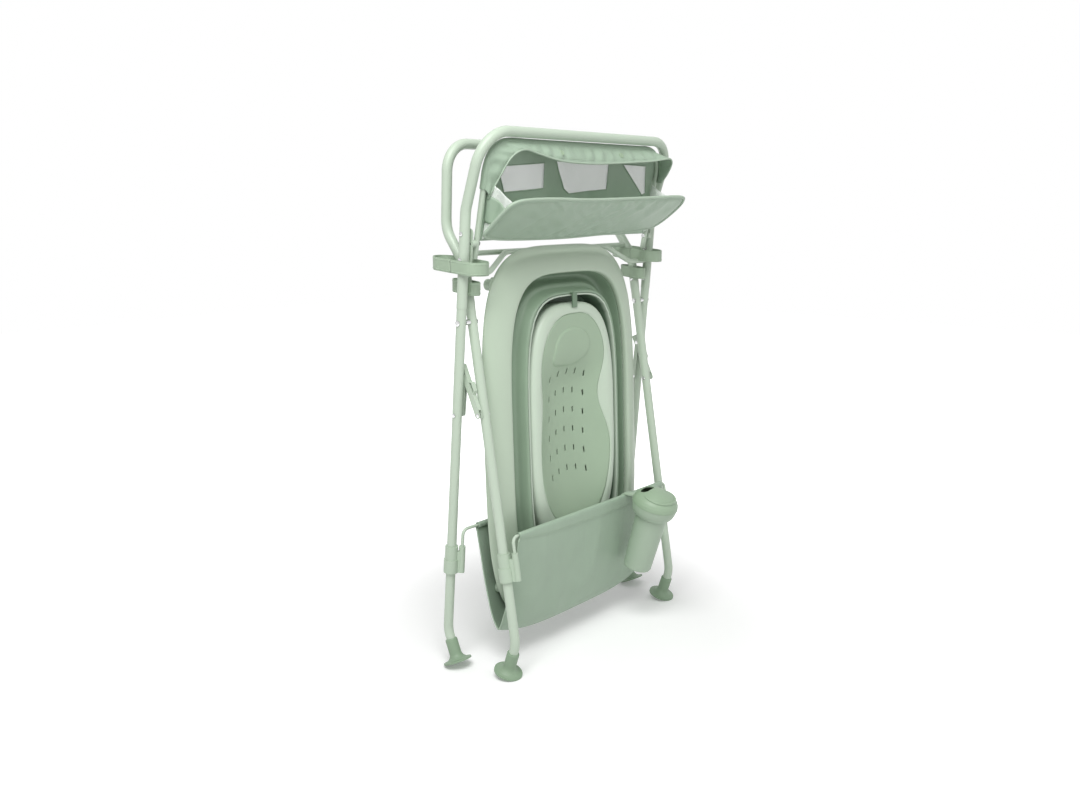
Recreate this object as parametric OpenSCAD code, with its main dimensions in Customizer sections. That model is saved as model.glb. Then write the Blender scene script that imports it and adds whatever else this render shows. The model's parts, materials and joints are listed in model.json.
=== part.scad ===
/* [Stand] */
// Height of the fold pivot above the floor with the stand folded
pivot_height = 680; // [650:1:710]
// Half the distance between the side tubes of the outer frame
outer_half_width = 296.5; // [290:0.5:303]
// Clear gap between an outer leg and the inner leg beside it
frame_gap = 11.6; // [11.2:0.1:12.4]
// Diameter of the lower leg tubes
leg_d = 18.5; // [18:0.1:19]
// Diameter of the upper frame tubes
upper_d = 19.5; // [19:0.1:20]
// Wall of the stand tubes
tube_wall = 1.2; // [1:0.1:1.5]
// Angle of the outer legs to the vertical, feet to the rear
outer_tilt = 4.4; // [4:0.1:5]
// Angle of the inner legs to the vertical, feet to the front
inner_tilt = 9.6; // [9:0.1:10]
// Angle of the bend above each foot
foot_bend = 27.6; // [26:0.1:29]
// Bend radius above each foot
foot_bend_r = 60; // [50:1:62]
// Length of leg from that bend to the sole
foot_run = 64; // [64:1:70]
// Bend radius of the upper tubes where they lean
lean_r = 60; // [50:1:62]
// Height of the outer frame's forward bend above the pivot
outer_bend_rise = 204; // [195:1:210]
// Height of the outer frame's top bar above the pivot
outer_top_rise = 342; // [336:1:350]
// Forward lean of the outer frame above its bend
outer_lean = 18.2; // [17:0.1:19]
// Corner radius of the outer frame's top bar
outer_corner_r = 65; // [60:1:68]
// Height above the pivot where the inner frame leans to the rear
inner_bend_rise = 103; // [101:1:106]
// Height above the pivot where the inner frame turns upright
inner_turn_rise = 167; // [163:1:172]
// Height of the inner frame's top bar above the pivot
inner_top_rise = 324; // [316:1:330]
// Rearward lean of the inner frame between its two bends
inner_lean = 36; // [34:1:38]
// Forward lean of the inner frame's hoop
hoop_lean = 2.5; // [0:0.5:4]
// Corner radius of the inner frame's top bar
inner_corner_r = 50; // [45:1:55]
// Distance from the pivot up to the joint of lower and upper tube
joint_rise = 27; // [25:0.5:29]
// Length of the necked leg end inside the upper tube
neck_length = 45; // [40:1:50]

/* [Feet] */
// Diameter of a foot's sole
sole_d = 56; // [52:1:60]
// Height of a foot along its leg
foot_height = 46; // [44:1:47]
// Diameter of a foot's collar
collar_d = 24; // [23:0.5:25]
// Thickness of the sole's edge
sole_edge = 3; // [2.5:0.1:4]

/* [Fold joint] */
// Diameter of the pivot pin
pivot_pin_d = 8; // [7:0.5:8.5]
// Diameter of the spacer on the pivot pin
spacer_d = 11; // [10.5:0.1:12]
// Diameter of the brace and bracket rivets
rivet_d = 4.5; // [4:0.1:5]
// Diameter of the rivet heads
rivet_head_d = 8; // [7.5:0.1:8.5]
// Thickness of the rivet heads
rivet_head_t = 1.8; // [1.5:0.1:2.2]
// Distance from the pivot down to the brace rivets on the legs
brace_drop = 174; // [168:1:180]
// Length of the rear brace link between its rivets
rear_link_length = 78; // [76:0.5:80]
// Width across the front brace link
link_width = 9.6; // [9.4:0.1:9.8]
// Sheet thickness of the brace links
link_sheet = 1.2; // [1:0.1:1.3]
// Depth of the front brace link
link_depth = 12; // [11.6:0.1:12.5]

/* [Cross rods] */
// Diameter of the curved support rod and the straight cross bar
bar_d = 10.5; // [10:0.1:11]
// Height of the support rod's ends above the pivot
support_end_rise = 89; // [87:0.5:91]
// Height of the support rod's middle above the pivot
support_mid_rise = 124; // [122:0.5:126]
// Distance from the outer tubes to the upper bends of the support rod
support_mid_inset = 136.5; // [132.5:0.5:142.5]
// Distance from the outer tubes to the lower bends of the support rod
support_bend_inset = 70.5; // [66.5:0.5:74.5]
// Height of the cross bar above the pivot
cross_bar_rise = 123; // [120:0.5:125]

/* [Basket] */
// Diameter of the basket's wire rods
wire_d = 6; // [5.5:0.1:6.4]
// Height of both basket rods above the floor
basket_rod_height = 278; // [270:1:285]
// Distance of the front rod before the inner legs
front_rod_reach = 21; // [20:0.5:23]
// Distance of the rear rod before the outer legs
rear_rod_reach = 15; // [14.6:0.1:15.6]
// Gap between the inner legs' middles and the side of the basket's cloth
basket_side_gap = 24.4; // [23.4:0.2:30.4]
// Height of the basket's lowest line above the floor
basket_bottom = 50; // [46:1:56]
// Rise of the basket's open ends above that line
basket_end_rise = 34; // [26:1:40]
// Thickness of the basket's cloth
cloth_t = 1.5; // [1.2:0.1:1.8]
// Height of a basket clip along its leg
clip_height = 54; // [50:1:58]

/* [Tub] */
// Gap between the inner legs' middles and the tub's rim
tub_side_gap = 22.4; // [19.4:0.2:28.4]
// Height of the tub's upper end above the floor
tub_top = 812; // [808:0.5:814]
// Rearward lean of the stored tub
tub_lean = 2.2; // [2:0.1:2.4]
// Place of the tub's lip before or behind the pivot, at the tub's middle
tub_lip_y = -8.3; // [-9:0.1:-7.8]
// Width of the domed rim
rim_width = 54; // [52:0.5:56]
// Height of the rim's dome above its lip
rim_crown = 27; // [25:0.5:29]
// Wall of the rim
rim_wall = 3; // [2.6:0.1:3.4]
// Width of the groove that holds the folded wall
groove_width = 44; // [43:0.5:45]
// Thickness of the folded wall
fold_wall = 2.4; // [2:0.1:2.8]
// Depth of the folded tub behind its lip
tub_depth = 20; // [18:0.5:21]

/* [Bath insert] */
// Gap between the tub's base and the side of the bath insert
insert_side_gap = 8.4; // [7.4:0.2:11.4]
// Length of the bath insert
insert_length = 495; // [485:1:500]
// Height of the insert's rim above its pad
insert_depth = 16; // [14:0.5:18]
// Thickness of the insert's pad
pad_t = 3; // [2.5:0.1:3.5]

/* [Rinse cup] */
// Bottom diameter of the cup
cup_bottom_d = 60; // [56:0.5:62]
// Diameter of the cup below its flared mouth
cup_top_d = 67; // [64:0.5:69]
// Height of the cup without its lid
cup_height = 152; // [148:1:156]
// Height of the cup's flared mouth
cup_flare = 26; // [22:1:30]
// Wall of the cup
cup_wall = 2.4; // [2:0.1:2.8]
// Diameter of the lid
lid_d = 97; // [92:1:98]
// Height of the lid's dome
lid_height = 33; // [30:0.5:35]
// Place of the cup along the basket's front
cup_x = 112; // [104:1:114]
// Forward lean of the hanging cup
cup_lean = 16.2; // [15.8:0.1:16.8]

/* [Organizer] */
// Diameter of the organizer's frame tube
tray_tube_d = 11; // [10.5:0.1:11.4]
// Distance between the outer frame's side tubes and the organizer's
tray_side_gap = 26.5; // [25.5:0.5:28.5]
// Height of the organizer's hinge above the pivot
tray_hinge_rise = 144; // [142:0.5:147]
// Distance of the organizer's hinge before the pivot
tray_hinge_reach = 16; // [15:0.5:18]
// Length of the organizer's frame above its hinge
tray_frame_length = 184; // [178:0.5:184]
// Forward lean of the organizer's frame
tray_lean = 11; // [10.5:0.1:11.5]
// Reach of the padded bottom panel past the middle of each side tube
panel_overhang = 5; // [-10:1:5]
// Width of the padded bottom panel
panel_width = 112; // [104:1:116]
// Thickness of the padded bottom panel
panel_t = 8; // [7:0.5:9]
// Angle of the bottom panel above the horizontal
panel_rise = 41; // [39:1:44]

/* [Straps] */
// Width of the webbing
strap_width = 24; // [20:1:25]
// Thickness of the webbing
strap_t = 2; // [1.6:0.1:2.4]
// Length of a strap's loop from front to rear
strap_loop = 118; // [110:1:122]

/* [Hidden] */
$fn = 48;

// Overrun of a cut past the surface that it opens
over = 1;
// Clearance of a pin that turns in its hole
turn_fit = 0.08;
// Clearance of a fixed pin or a welded end in its seat
seat_fit = 0.1;
// Clearance between pieces that rest on each other
rest_gap = 0.3;
// Diameter of a leg's necked end, and the gap round it in the upper tube
neck_gap = 0.15;
neck_d = upper_d - 2 * tube_wall - 2 * neck_gap;
// The shoulder below a neck where the leg's bore narrows
neck_taper = 3;
// Half the distance between the side tubes of the inner frame
inner_half_width = outer_half_width - leg_d - frame_gap;
// Middle of the gap between the two frames, where the braces lie
brace_half_width = (outer_half_width + inner_half_width) / 2;
// Half widths of what hangs between the frames
basket_half_width = inner_half_width - basket_side_gap;
tub_half_width = inner_half_width - tub_side_gap;
tray_half_width = outer_half_width - tray_side_gap;
support_mid_half = outer_half_width - support_mid_inset;
support_bend_half = outer_half_width - support_bend_inset;
// Distance from the upper end of a leg's tube to its button
button_rise = 20.6;
button_d = 6;
button_flange_d = 9;
button_flange_t = 1.2;
button_proud = 2;
button_tip_share = 0.66;
// Movement of a button
button_travel = 3;

// Feet on their edges: each sole is square to its leg's lower end
outer_foot_tilt = foot_bend - outer_tilt;
inner_foot_tilt = foot_bend - inner_tilt;
outer_leg_length = leg_length(outer_tilt, outer_foot_tilt);
inner_leg_length = leg_length(inner_tilt, inner_foot_tilt);
// Height of the foot's floor under the leg's end
foot_floor = 8;
foot_dish = 3;
foot_rim = 4;
foot_dish_d = sole_d - 2 * foot_rim;
foot_dish_share = 0.8;
foot_shoulder = 17;
foot_collar_lip = 2;

// Length of a leg from the pivot to its bend, with its sole's edge on the floor
function leg_length(tilt, foot_tilt) =
    (pivot_height - sole_d / 2 * sin(foot_tilt) - foot_run * cos(foot_tilt)) / cos(tilt);

// Point on a leg's centre line, a distance below the pivot
function leg_point(half_x, tilt, down) = [half_x, down * sin(tilt), pivot_height - down * cos(tilt)];

// Unit vector along v
function unit(v) = v / norm(v);
// Angle between two directions
function turn_angle(u, v) = acos(max(-1, min(1, unit(u) * unit(v))));
// Length that a bend takes from each side of its corner
function bend_cut(a, b, c, r) = r * tan(turn_angle(b - a, c - b) / 2);
// Direction square to v, as near to the X axis as can be
function across(v) = abs(v.x) < 0.99 ? unit([1, 0, 0] - v.x * v) : [0, 1, 0];
// Rotation that carries the X, Y and Z axes onto three given directions
function triad_angles(ex, ey, ez) =
    abs(ex.z) > 0.99999
        ? [atan2(-sign(ex.z) * ey.x, ey.y), -90 * sign(ex.z), 0]
        : [atan2(ey.z, ez.z), -asin(ex.z), atan2(ex.y, ex.x)];

// The closed outline of a rounded rectangle, a superellipse with its points evenly turned
function squircle(half_x, half_z, power, count) = [
    for (i = [0 : count - 1])
        let (a = 360 * i / count)
        let (k = (abs(cos(a)) ^ power + abs(sin(a)) ^ power) ^ (-1 / power))
        [half_x * k * cos(a), half_z * k * sin(a)]
];

// Draws its children along the direction v from the point p
module along(p, v) {
    ez = unit(v);
    ex = across(ez);
    translate(p) rotate(triad_angles(ex, cross(ez, ex), ez)) children();
}

// A round rod through points, with a bend radius at each; straights run a little into the bends
bend_lap = 0.6;
bend_swell = 0.2;
seam_turn = 25;
module bent_rod(points, radii, d) {
    last = len(points) - 1;
    cuts = [
        for (i = [0 : last])
            i == 0 || i == last ? 0 : bend_cut(points[i - 1], points[i], points[i + 1], radii[i]) - bend_lap
    ];
    for (i = [0 : last - 1]) {
        u = unit(points[i + 1] - points[i]);
        along(points[i] + cuts[i] * u, u) rotate([0, 0, seam_turn])
            cylinder(d = d, h = norm(points[i + 1] - points[i]) - cuts[i] - cuts[i + 1]);
    }
    for (i = [1 : last - 1]) elbow(points[i - 1], points[i], points[i + 1], radii[i], d + bend_swell);
}

// The bend of a rod at b, between the directions from a and to c
module elbow(a, b, c, r, d) {
    u = unit(b - a);
    v = unit(c - b);
    side = unit(v - (u * v) * u);
    translate(b - bend_cut(a, b, c, r) * u + r * side)
        rotate(triad_angles(-side, u, cross(-side, u)))
        rotate_extrude(angle = turn_angle(u, v)) translate([r, 0]) circle(d = d);
}

// The same points with both ends moved outward by a length
function stretched(points, by) =
    let (last = len(points) - 1)
    [
        for (i = [0 : last])
            i == 0 ? points[0] + by * unit(points[0] - points[1])
            : i == last ? points[last] + by * unit(points[last] - points[last - 1])
            : points[i]
    ];

// A round tube through points
module bent_tube(points, radii, d, wall) {
    difference() {
        bent_rod(points, radii, d);
        bent_rod(stretched(points, over), radii, d - 2 * wall);
    }
}

// Points mirrored to the left side, so that a path runs from left to right
function both_sides(points) = concat(
    [for (p = points) [-p.x, p.y, p.z]],
    [for (i = [len(points) - 1 : -1 : 0]) points[i]]
);
function there_and_back(values) = concat(values, [for (i = [len(values) - 1 : -1 : 0]) values[i]]);

// Closed skin of rows that are loops of equal length; closed also from the last row to the first
module ring_skin(rows) {
    count = len(rows[0]);
    polyhedron(
        points = [for (row = rows) each row],
        faces = [
            for (i = [0 : len(rows) - 1], j = [0 : count - 1])
                let (a = i * count + j, b = i * count + (j + 1) % count)
                let (n = (i + 1) % len(rows))
                let (c = n * count + (j + 1) % count, d = n * count + j)
                each [[a, b, c], [a, c, d]]
        ]
    );
}

// Skin of rows that are sheet profiles of equal length, with flat ends
module capped_skin(rows) {
    count = len(rows[0]);
    last = len(rows) - 1;
    half = count / 2;
    polyhedron(
        points = [for (row = rows) each row],
        faces = concat(
            [
                for (i = [0 : last - 1], j = [0 : count - 1])
                    let (a = i * count + j, b = i * count + (j + 1) % count)
                    each [[a, b, b + count], [a, b + count, a + count]]
            ],
            [
                for (k = [1 : half - 1])
                    let (m = count - k)
                    each [[m, k, k - 1], [m, m - 1, k]]
            ],
            [
                for (k = [1 : half - 1])
                    let (e = last * count, m = e + count - k)
                    each [[e + k - 1, e + k, m], [e + k, m - 1, m]]
            ]
        )
    );
}

// Everything is drawn about the pivot; this sets the part's origin below its middle
stand_shift = 68.715;
module placed() {
    translate([0, stand_shift, 0]) children();
}

tube_color = [0.77, 0.82, 0.76];
foot_color = [0.47, 0.58, 0.47];
steel_color = [0.80, 0.81, 0.82];
rim_color = [0.76, 0.82, 0.75];
wall_color = [0.55, 0.65, 0.54];
pad_color = [0.60, 0.70, 0.58];
cloth_color = [0.60, 0.68, 0.61];
mesh_color = [0.88, 0.90, 0.89];
cup_color = [0.60, 0.70, 0.60];

// Outer frame's upper tube: from the joint, up, forward at the bend and over the top
outer_bend_y = -outer_bend_rise * tan(outer_tilt);
outer_top_y = outer_bend_y - (outer_top_rise - outer_bend_rise) * tan(outer_lean);
outer_upper_points = both_sides([
    leg_point(outer_half_width, outer_tilt, -joint_rise),
    [outer_half_width, outer_bend_y, pivot_height + outer_bend_rise],
    [outer_half_width, outer_top_y, pivot_height + outer_top_rise]
]);
outer_upper_radii = there_and_back([0, lean_r, outer_corner_r]);

// Inner frame's upper tube
inner_bend_y = inner_bend_rise * tan(inner_tilt);
inner_turn_y = inner_bend_y + (inner_turn_rise - inner_bend_rise) * tan(inner_lean);
inner_top_y = inner_turn_y - (inner_top_rise - inner_turn_rise) * tan(hoop_lean);
inner_upper_points = both_sides([
    leg_point(inner_half_width, -inner_tilt, -joint_rise),
    [inner_half_width, inner_bend_y, pivot_height + inner_bend_rise],
    [inner_half_width, inner_turn_y, pivot_height + inner_turn_rise],
    [inner_half_width, inner_top_y, pivot_height + inner_top_rise]
]);
inner_upper_radii = there_and_back([0, lean_r, lean_r, inner_corner_r]);

// A leg tube with its necked end, drawn at its own side
module leg(half_x, tilt, length, foot_tilt) {
    toe = tilt > 0 ? -1 : 1;
    bend = leg_point(half_x, tilt, length);
    foot_end = bend + (foot_run - foot_floor) * [0, toe * sin(foot_tilt), -cos(foot_tilt)];
    shoulder = leg_point(half_x, tilt, -joint_rise);
    neck_end = leg_point(half_x, tilt, -joint_rise - neck_length);
    bore_end = leg_point(half_x, tilt, neck_taper - joint_rise);
    difference() {
        union() {
            bent_rod([foot_end, bend, shoulder], [0, foot_bend_r, 0], leg_d);
            along(bore_end, neck_end - shoulder) cylinder(d = neck_d, h = neck_length + neck_taper);
        }
        bent_rod(
            [foot_end + over * unit(foot_end - bend), bend, bore_end],
            [0, foot_bend_r, 0],
            leg_d - 2 * tube_wall
        );
        along(bore_end - over * tube_up(tilt), neck_end - shoulder)
            cylinder(d = neck_d - 2 * tube_wall, h = neck_length + neck_taper + 2 * over);
        cross_hole(half_x, tilt, 0, pivot_pin_d + 2 * turn_fit);
        cross_hole(half_x, tilt, brace_drop, rivet_d + 2 * seat_fit);
        button_hole(half_x, tilt);
    }
}

// A hole through a leg along X, a distance below the pivot
module cross_hole(half_x, tilt, down, d) {
    along(leg_point(half_x - leg_d, tilt, down), [1, 0, 0]) cylinder(d = d, h = 2 * leg_d);
}

// The hole for a spring button, from the tube's middle to its inner side
module button_hole(half_x, tilt) {
    hole_d = button_d + 2 * rest_gap;
    along(leg_point(half_x, tilt, -joint_rise - button_rise), [-1, 0, 0])
        cylinder(d = hole_d, h = upper_d);
}

// A spring button with its flange inside the neck
module button(half_x, tilt) {
    reach = upper_d / 2 + button_proud;
    bore_r = neck_d / 2 - tube_wall - rest_gap;
    flange_at = sqrt(bore_r ^ 2 - (button_flange_d / 2) ^ 2) - button_flange_t;
    color(steel_color)
        along(leg_point(half_x, tilt, -joint_rise - button_rise), [-1, 0, 0]) {
            translate([0, 0, flange_at]) cylinder(d = button_flange_d, h = button_flange_t);
            translate([0, 0, flange_at]) cylinder(d = button_d, h = reach - flange_at - button_proud / 2);
            translate([0, 0, reach - button_proud / 2])
                cylinder(d1 = button_d, d2 = button_d * button_tip_share, h = button_proud / 2);
        }
}

// A foot: a dished sole, a flared skirt and a collar round the leg's end
module foot(half_x, tilt, length, foot_tilt) {
    toe = tilt > 0 ? -1 : 1;
    down = [0, toe * sin(foot_tilt), -cos(foot_tilt)];
    sole = leg_point(half_x, tilt, length) + foot_run * down;
    collar_r = collar_d / 2;
    sole_r = sole_d / 2;
    flare = sole_r - collar_r;
    steps = 6;
    color(foot_color) along(sole, -down) rotate_extrude() polygon(concat(
        [[0, foot_dish], [foot_dish_d / 4, foot_dish * foot_dish_share], [foot_dish_d / 2, 0], [sole_r, 0]],
        [
            for (i = [0 : steps])
                let (a = 90 * i / steps)
                [collar_r + flare * (1 - sin(a)), sole_edge + (foot_shoulder - sole_edge) * (1 - cos(a))]
        ],
        [
            [collar_r, foot_height - foot_collar_lip],
            [collar_r - foot_collar_lip / 2, foot_height],
            [leg_d / 2 + seat_fit, foot_height],
            [leg_d / 2 + seat_fit, foot_floor - seat_fit],
            [0, foot_floor - seat_fit]
        ]
    ));
}

module both() {
    children();
    mirror([1, 0, 0]) children();
}

module outer_upper_tube() {
    placed() color(tube_color) difference() {
        bent_tube(outer_upper_points, outer_upper_radii, upper_d, tube_wall);
        both() {
            button_hole(outer_half_width, outer_tilt);
            for (rise = bracket_rivet_rises) bracket_hole(rise);
        }
    }
}

module inner_upper_tube() {
    placed() color(tube_color) difference() {
        bent_tube(inner_upper_points, inner_upper_radii, upper_d, tube_wall);
        both() button_hole(inner_half_width, -inner_tilt);
    }
}

module rear_leg_right() {
    placed() color(tube_color) leg(outer_half_width, outer_tilt, outer_leg_length, outer_foot_tilt);
}
module rear_leg_left() {
    mirror([1, 0, 0]) rear_leg_right();
}
module front_leg_right() {
    placed() color(tube_color) leg(inner_half_width, -inner_tilt, inner_leg_length, inner_foot_tilt);
}
module front_leg_left() {
    mirror([1, 0, 0]) front_leg_right();
}
module rear_foot_right() {
    placed() foot(outer_half_width, outer_tilt, outer_leg_length, outer_foot_tilt);
}
module rear_foot_left() {
    mirror([1, 0, 0]) rear_foot_right();
}
module front_foot_right() {
    placed() foot(inner_half_width, -inner_tilt, inner_leg_length, inner_foot_tilt);
}
module front_foot_left() {
    mirror([1, 0, 0]) front_foot_right();
}
module outer_button_right() {
    placed() button(outer_half_width, outer_tilt);
}
module outer_button_left() {
    mirror([1, 0, 0]) outer_button_right();
}
module inner_button_right() {
    placed() button(inner_half_width, -inner_tilt);
}
module inner_button_left() {
    mirror([1, 0, 0]) inner_button_right();
}

// A rivet along X from one height to another, with a domed head past each end
head_top_share = 0.6;
module cross_rivet(y, z, x_from, x_to, d, head_d, head_t) {
    translate([x_from, y, z]) rotate([0, 90, 0]) {
        cylinder(d = d, h = x_to - x_from);
        translate([0, 0, x_to - x_from]) rivet_head(head_d, head_t);
        mirror([0, 0, 1]) rivet_head(head_d, head_t);
    }
}
module rivet_head(d, t) {
    cylinder(d = d, h = t / 2);
    translate([0, 0, t / 2]) cylinder(d1 = d, d2 = d * head_top_share, h = t / 2);
}

// Pivot pins pass through both legs, with a spacer in the gap
pivot_head_d = 11;
module pivot_pins() {
    placed() color(steel_color) both() cross_rivet(
        0, pivot_height,
        inner_half_width - leg_d / 2 - rest_gap,
        outer_half_width + leg_d / 2 + rest_gap,
        pivot_pin_d, pivot_head_d, rivet_head_t
    );
}
module pivot_spacers() {
    placed() color(tube_color) both()
        translate([inner_half_width + leg_d / 2 + rest_gap, 0, pivot_height]) rotate([0, 90, 0])
        difference() {
            cylinder(d = spacer_d, h = frame_gap - 2 * rest_gap);
            translate([0, 0, -over]) cylinder(d = pivot_pin_d + 2 * turn_fit, h = frame_gap + 2 * over);
        }
}

// Places of the brace's rivets and knee, seen from the side as [y, z]
function flat(p) = [p.y, p.z];
rear_pin = flat(leg_point(outer_half_width, outer_tilt, brace_drop));
front_pin = flat(leg_point(inner_half_width, -inner_tilt, brace_drop));
// Angle between the legs with the stand open, feet flat on the floor
open_angle = outer_foot_tilt + inner_foot_tilt + outer_tilt + inner_tilt;
open_span = 2 * brace_drop * sin(open_angle / 2);
front_link_length = open_span - rear_link_length;
pin_gap = norm(rear_pin - front_pin);
knee_along = (rear_link_length ^ 2 - front_link_length ^ 2 + pin_gap ^ 2) / (2 * pin_gap);
knee_height = sqrt(rear_link_length ^ 2 - knee_along ^ 2);
pin_line = (front_pin - rear_pin) / pin_gap;
knee = rear_pin + knee_along * pin_line + knee_height * [pin_line.y, -pin_line.x];

// Brace links are folded channels; the rear one lies inside the front one at the knee
rear_link_width = link_width - 2 * link_sheet - 2 * rest_gap;
rear_link_depth = link_depth - 2 * link_sheet - 2 * rest_gap;
// Length of the front link past the knee, which stops the brace when it is straight
stop_length = 17;
rear_web_start = 6;
front_web_end = 9;
// Finger tab that unlocks the brace
tab_at = 18;
tab_length = 26;
tab_height = 6;
// Heads of the rivets that lie in the gap between the legs
flush_head_t = 0.7;

// Draws children with x from one place to another, y towards the web and z across the link
module on_link(from, to) {
    s = unit(to - from);
    ex = [0, s.x, s.y];
    ey = [0, s.y, -s.x];
    translate([brace_half_width, from.x, from.y]) rotate(triad_angles(ex, ey, cross(ex, ey))) children();
}

// A channel: two side plates joined by a web
module link(length, width, depth, past, web_from, web_to) {
    for (z = [-width / 2, width / 2 - link_sheet])
        translate([0, 0, z]) linear_extrude(link_sheet) {
            translate([-past, -depth / 2]) square([length + past, depth]);
            circle(d = depth);
            translate([length, 0]) circle(d = depth);
        }
    translate([web_from, depth / 2 - link_sheet, -width / 2]) cube([web_to - web_from, link_sheet, width]);
}

// A pin hole across a link
module link_hole(at, d) {
    translate([at, 0, -link_width]) cylinder(d = d, h = 2 * link_width);
}

module rear_link_right() {
    placed() color(tube_color) on_link(rear_pin, knee) difference() {
        link(rear_link_length, rear_link_width, rear_link_depth, 0, 0, rear_link_length - rear_web_start);
        link_hole(0, rivet_d + 2 * turn_fit);
        link_hole(rear_link_length, rivet_d + 2 * turn_fit);
    }
}

module front_link_right() {
    placed() color(tube_color) on_link(knee, front_pin) {
        difference() {
            link(
                front_link_length, link_width, link_depth,
                stop_length, -stop_length, front_link_length - front_web_end
            );
            link_hole(0, rivet_d + 2 * seat_fit);
            link_hole(front_link_length, rivet_d + 2 * seat_fit);
        }
        translate([tab_at, link_depth / 2, -link_width / 2]) linear_extrude(link_width) difference() {
            tab_outline(tab_length, tab_height);
            translate([link_sheet, -over])
                tab_outline(tab_length - 2 * link_sheet, tab_height - link_sheet + over);
        }
    }
}
module tab_outline(length, height) {
    polygon([[0, 0], [height / 2, height], [length - height, height], [length, 0]]);
}

module knee_rivets_right() {
    half = link_width / 2;
    placed() color(steel_color) on_link(knee, front_pin) {
        for (at = [0, front_link_length]) translate([at, 0, -half]) {
            cylinder(d = rivet_d, h = link_width);
            translate([0, 0, link_width]) rivet_head(rivet_head_d, flush_head_t);
            mirror([0, 0, 1]) rivet_head(rivet_head_d, flush_head_t);
        }
    }
}
module rear_link_left() {
    mirror([1, 0, 0]) rear_link_right();
}
module front_link_left() {
    mirror([1, 0, 0]) front_link_right();
}
module knee_rivets_left() {
    mirror([1, 0, 0]) knee_rivets_right();
}

// Curved rod between the outer frame's sides, behind the stored tub's rim
support_end_y = -support_end_rise * tan(outer_tilt);
support_mid_z = pivot_height + support_mid_rise;
support_mid_y = lip_y_at(support_mid_z) + rest_gap + bar_d / 2;
support_bend_r = 45;
module support_rod() {
    z = pivot_height + support_end_rise;
    placed() color(tube_color) difference() {
        bent_rod(
            both_sides([
                [outer_half_width - upper_d / 4, support_end_y, z],
                [support_bend_half, support_end_y, z],
                [support_mid_half, support_mid_y, support_mid_z]
            ]),
            there_and_back([0, support_bend_r, support_bend_r]),
            bar_d
        );
        both() along(leg_point(outer_half_width, outer_tilt, -joint_rise), tube_up(outer_tilt))
            cylinder(d = upper_d + 2 * seat_fit, h = 2 * support_end_rise);
    }
}
// Direction of a leg's upper end
function tube_up(tilt) = [0, -sin(tilt), cos(tilt)];

// Straight bar between the inner frame's sides
module cross_bar() {
    y = inner_bend_y + (cross_bar_rise - inner_bend_rise) * tan(inner_lean);
    z = pivot_height + cross_bar_rise;
    placed() color(tube_color) difference() {
        translate([-inner_half_width, y, z]) rotate([0, 90, 0]) cylinder(d = bar_d, h = 2 * inner_half_width);
        bent_rod(inner_upper_points, inner_upper_radii, upper_d + 2 * seat_fit);
    }
}

// Brackets that carry the organizer's hinge on the outer frame
bracket_rivet_rises = [115, 162];
bracket_r = 10;
bracket_t = 2.6;
hinge_boss_d = 14;
tray_hinge_z = pivot_height + tray_hinge_rise;
bracket_x = outer_half_width - upper_d / 2 - rest_gap - bracket_t;
module bracket_hole(rise) {
    along([outer_half_width - upper_d, -rise * tan(outer_tilt), pivot_height + rise], [1, 0, 0])
        cylinder(d = rivet_d + 2 * seat_fit, h = 2 * upper_d);
}
module tray_bracket_right() {
    places = [for (rise = bracket_rivet_rises) [-rise * tan(outer_tilt), pivot_height + rise]];
    boss_x = tray_half_width + tray_tube_d / 2 + rest_gap;
    placed() color(tube_color) difference() {
        union() {
            translate([bracket_x, 0, 0]) rotate([90, 0, 90]) linear_extrude(bracket_t) {
                for (p = places) translate(p) circle(r = bracket_r);
                polygon([
                    places[0] - [bracket_r, 0], places[0] + [bracket_r, 0],
                    places[1] + [bracket_r, 0], places[1] - [bracket_r, 0]
                ]);
                translate([-tray_hinge_reach, tray_hinge_z]) circle(d = hinge_boss_d);
            }
            translate([boss_x, -tray_hinge_reach, tray_hinge_z]) rotate([0, 90, 0])
                cylinder(d = hinge_boss_d, h = bracket_x - boss_x + bracket_t / 2);
        }
        for (rise = bracket_rivet_rises) bracket_hole(rise);
        translate([0, -tray_hinge_reach, tray_hinge_z]) rotate([0, 90, 0])
            cylinder(d = rivet_d + 2 * seat_fit, h = 2 * outer_half_width);
    }
}
module tray_bracket_left() {
    mirror([1, 0, 0]) tray_bracket_right();
}

// Rivets fixed in the outer frame: brackets, organizer hinge and rear brace links
module outer_frame_rivets() {
    link_inner = brace_half_width - rear_link_width / 2 - rest_gap;
    placed() color(steel_color) both() {
        for (rise = bracket_rivet_rises) cross_rivet(
            -rise * tan(outer_tilt), pivot_height + rise,
            bracket_x - rest_gap, outer_half_width + upper_d / 2 + rest_gap,
            rivet_d, rivet_head_d, rivet_head_t
        );
        translate([tray_half_width - tray_tube_d / 2 - rest_gap, -tray_hinge_reach, tray_hinge_z])
            rotate([0, 90, 0]) {
                cylinder(
                    d = rivet_d,
                    h = bracket_x + bracket_t - tray_half_width + tray_tube_d / 2 + rest_gap
                );
                mirror([0, 0, 1]) rivet_head(rivet_head_d, rivet_head_t);
            }
        translate([link_inner, rear_pin.x, rear_pin.y]) rotate([0, 90, 0]) {
            cylinder(d = rivet_d, h = outer_half_width + leg_d / 2 + rest_gap - link_inner);
            mirror([0, 0, 1]) rivet_head(rivet_head_d, flush_head_t);
            translate([0, 0, outer_half_width + leg_d / 2 + rest_gap - link_inner])
                rivet_head(rivet_head_d, rivet_head_t);
        }
    }
}

// Rivets fixed in the inner legs, where the front brace links end
module inner_frame_rivets() {
    placed() color(steel_color) both()
        translate([inner_half_width - leg_d / 2 - rest_gap, front_pin.x, front_pin.y]) rotate([0, 90, 0]) {
            cylinder(d = rivet_d, h = leg_d + rest_gap);
            mirror([0, 0, 1]) rivet_head(rivet_head_d, rivet_head_t);
        }
}

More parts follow.
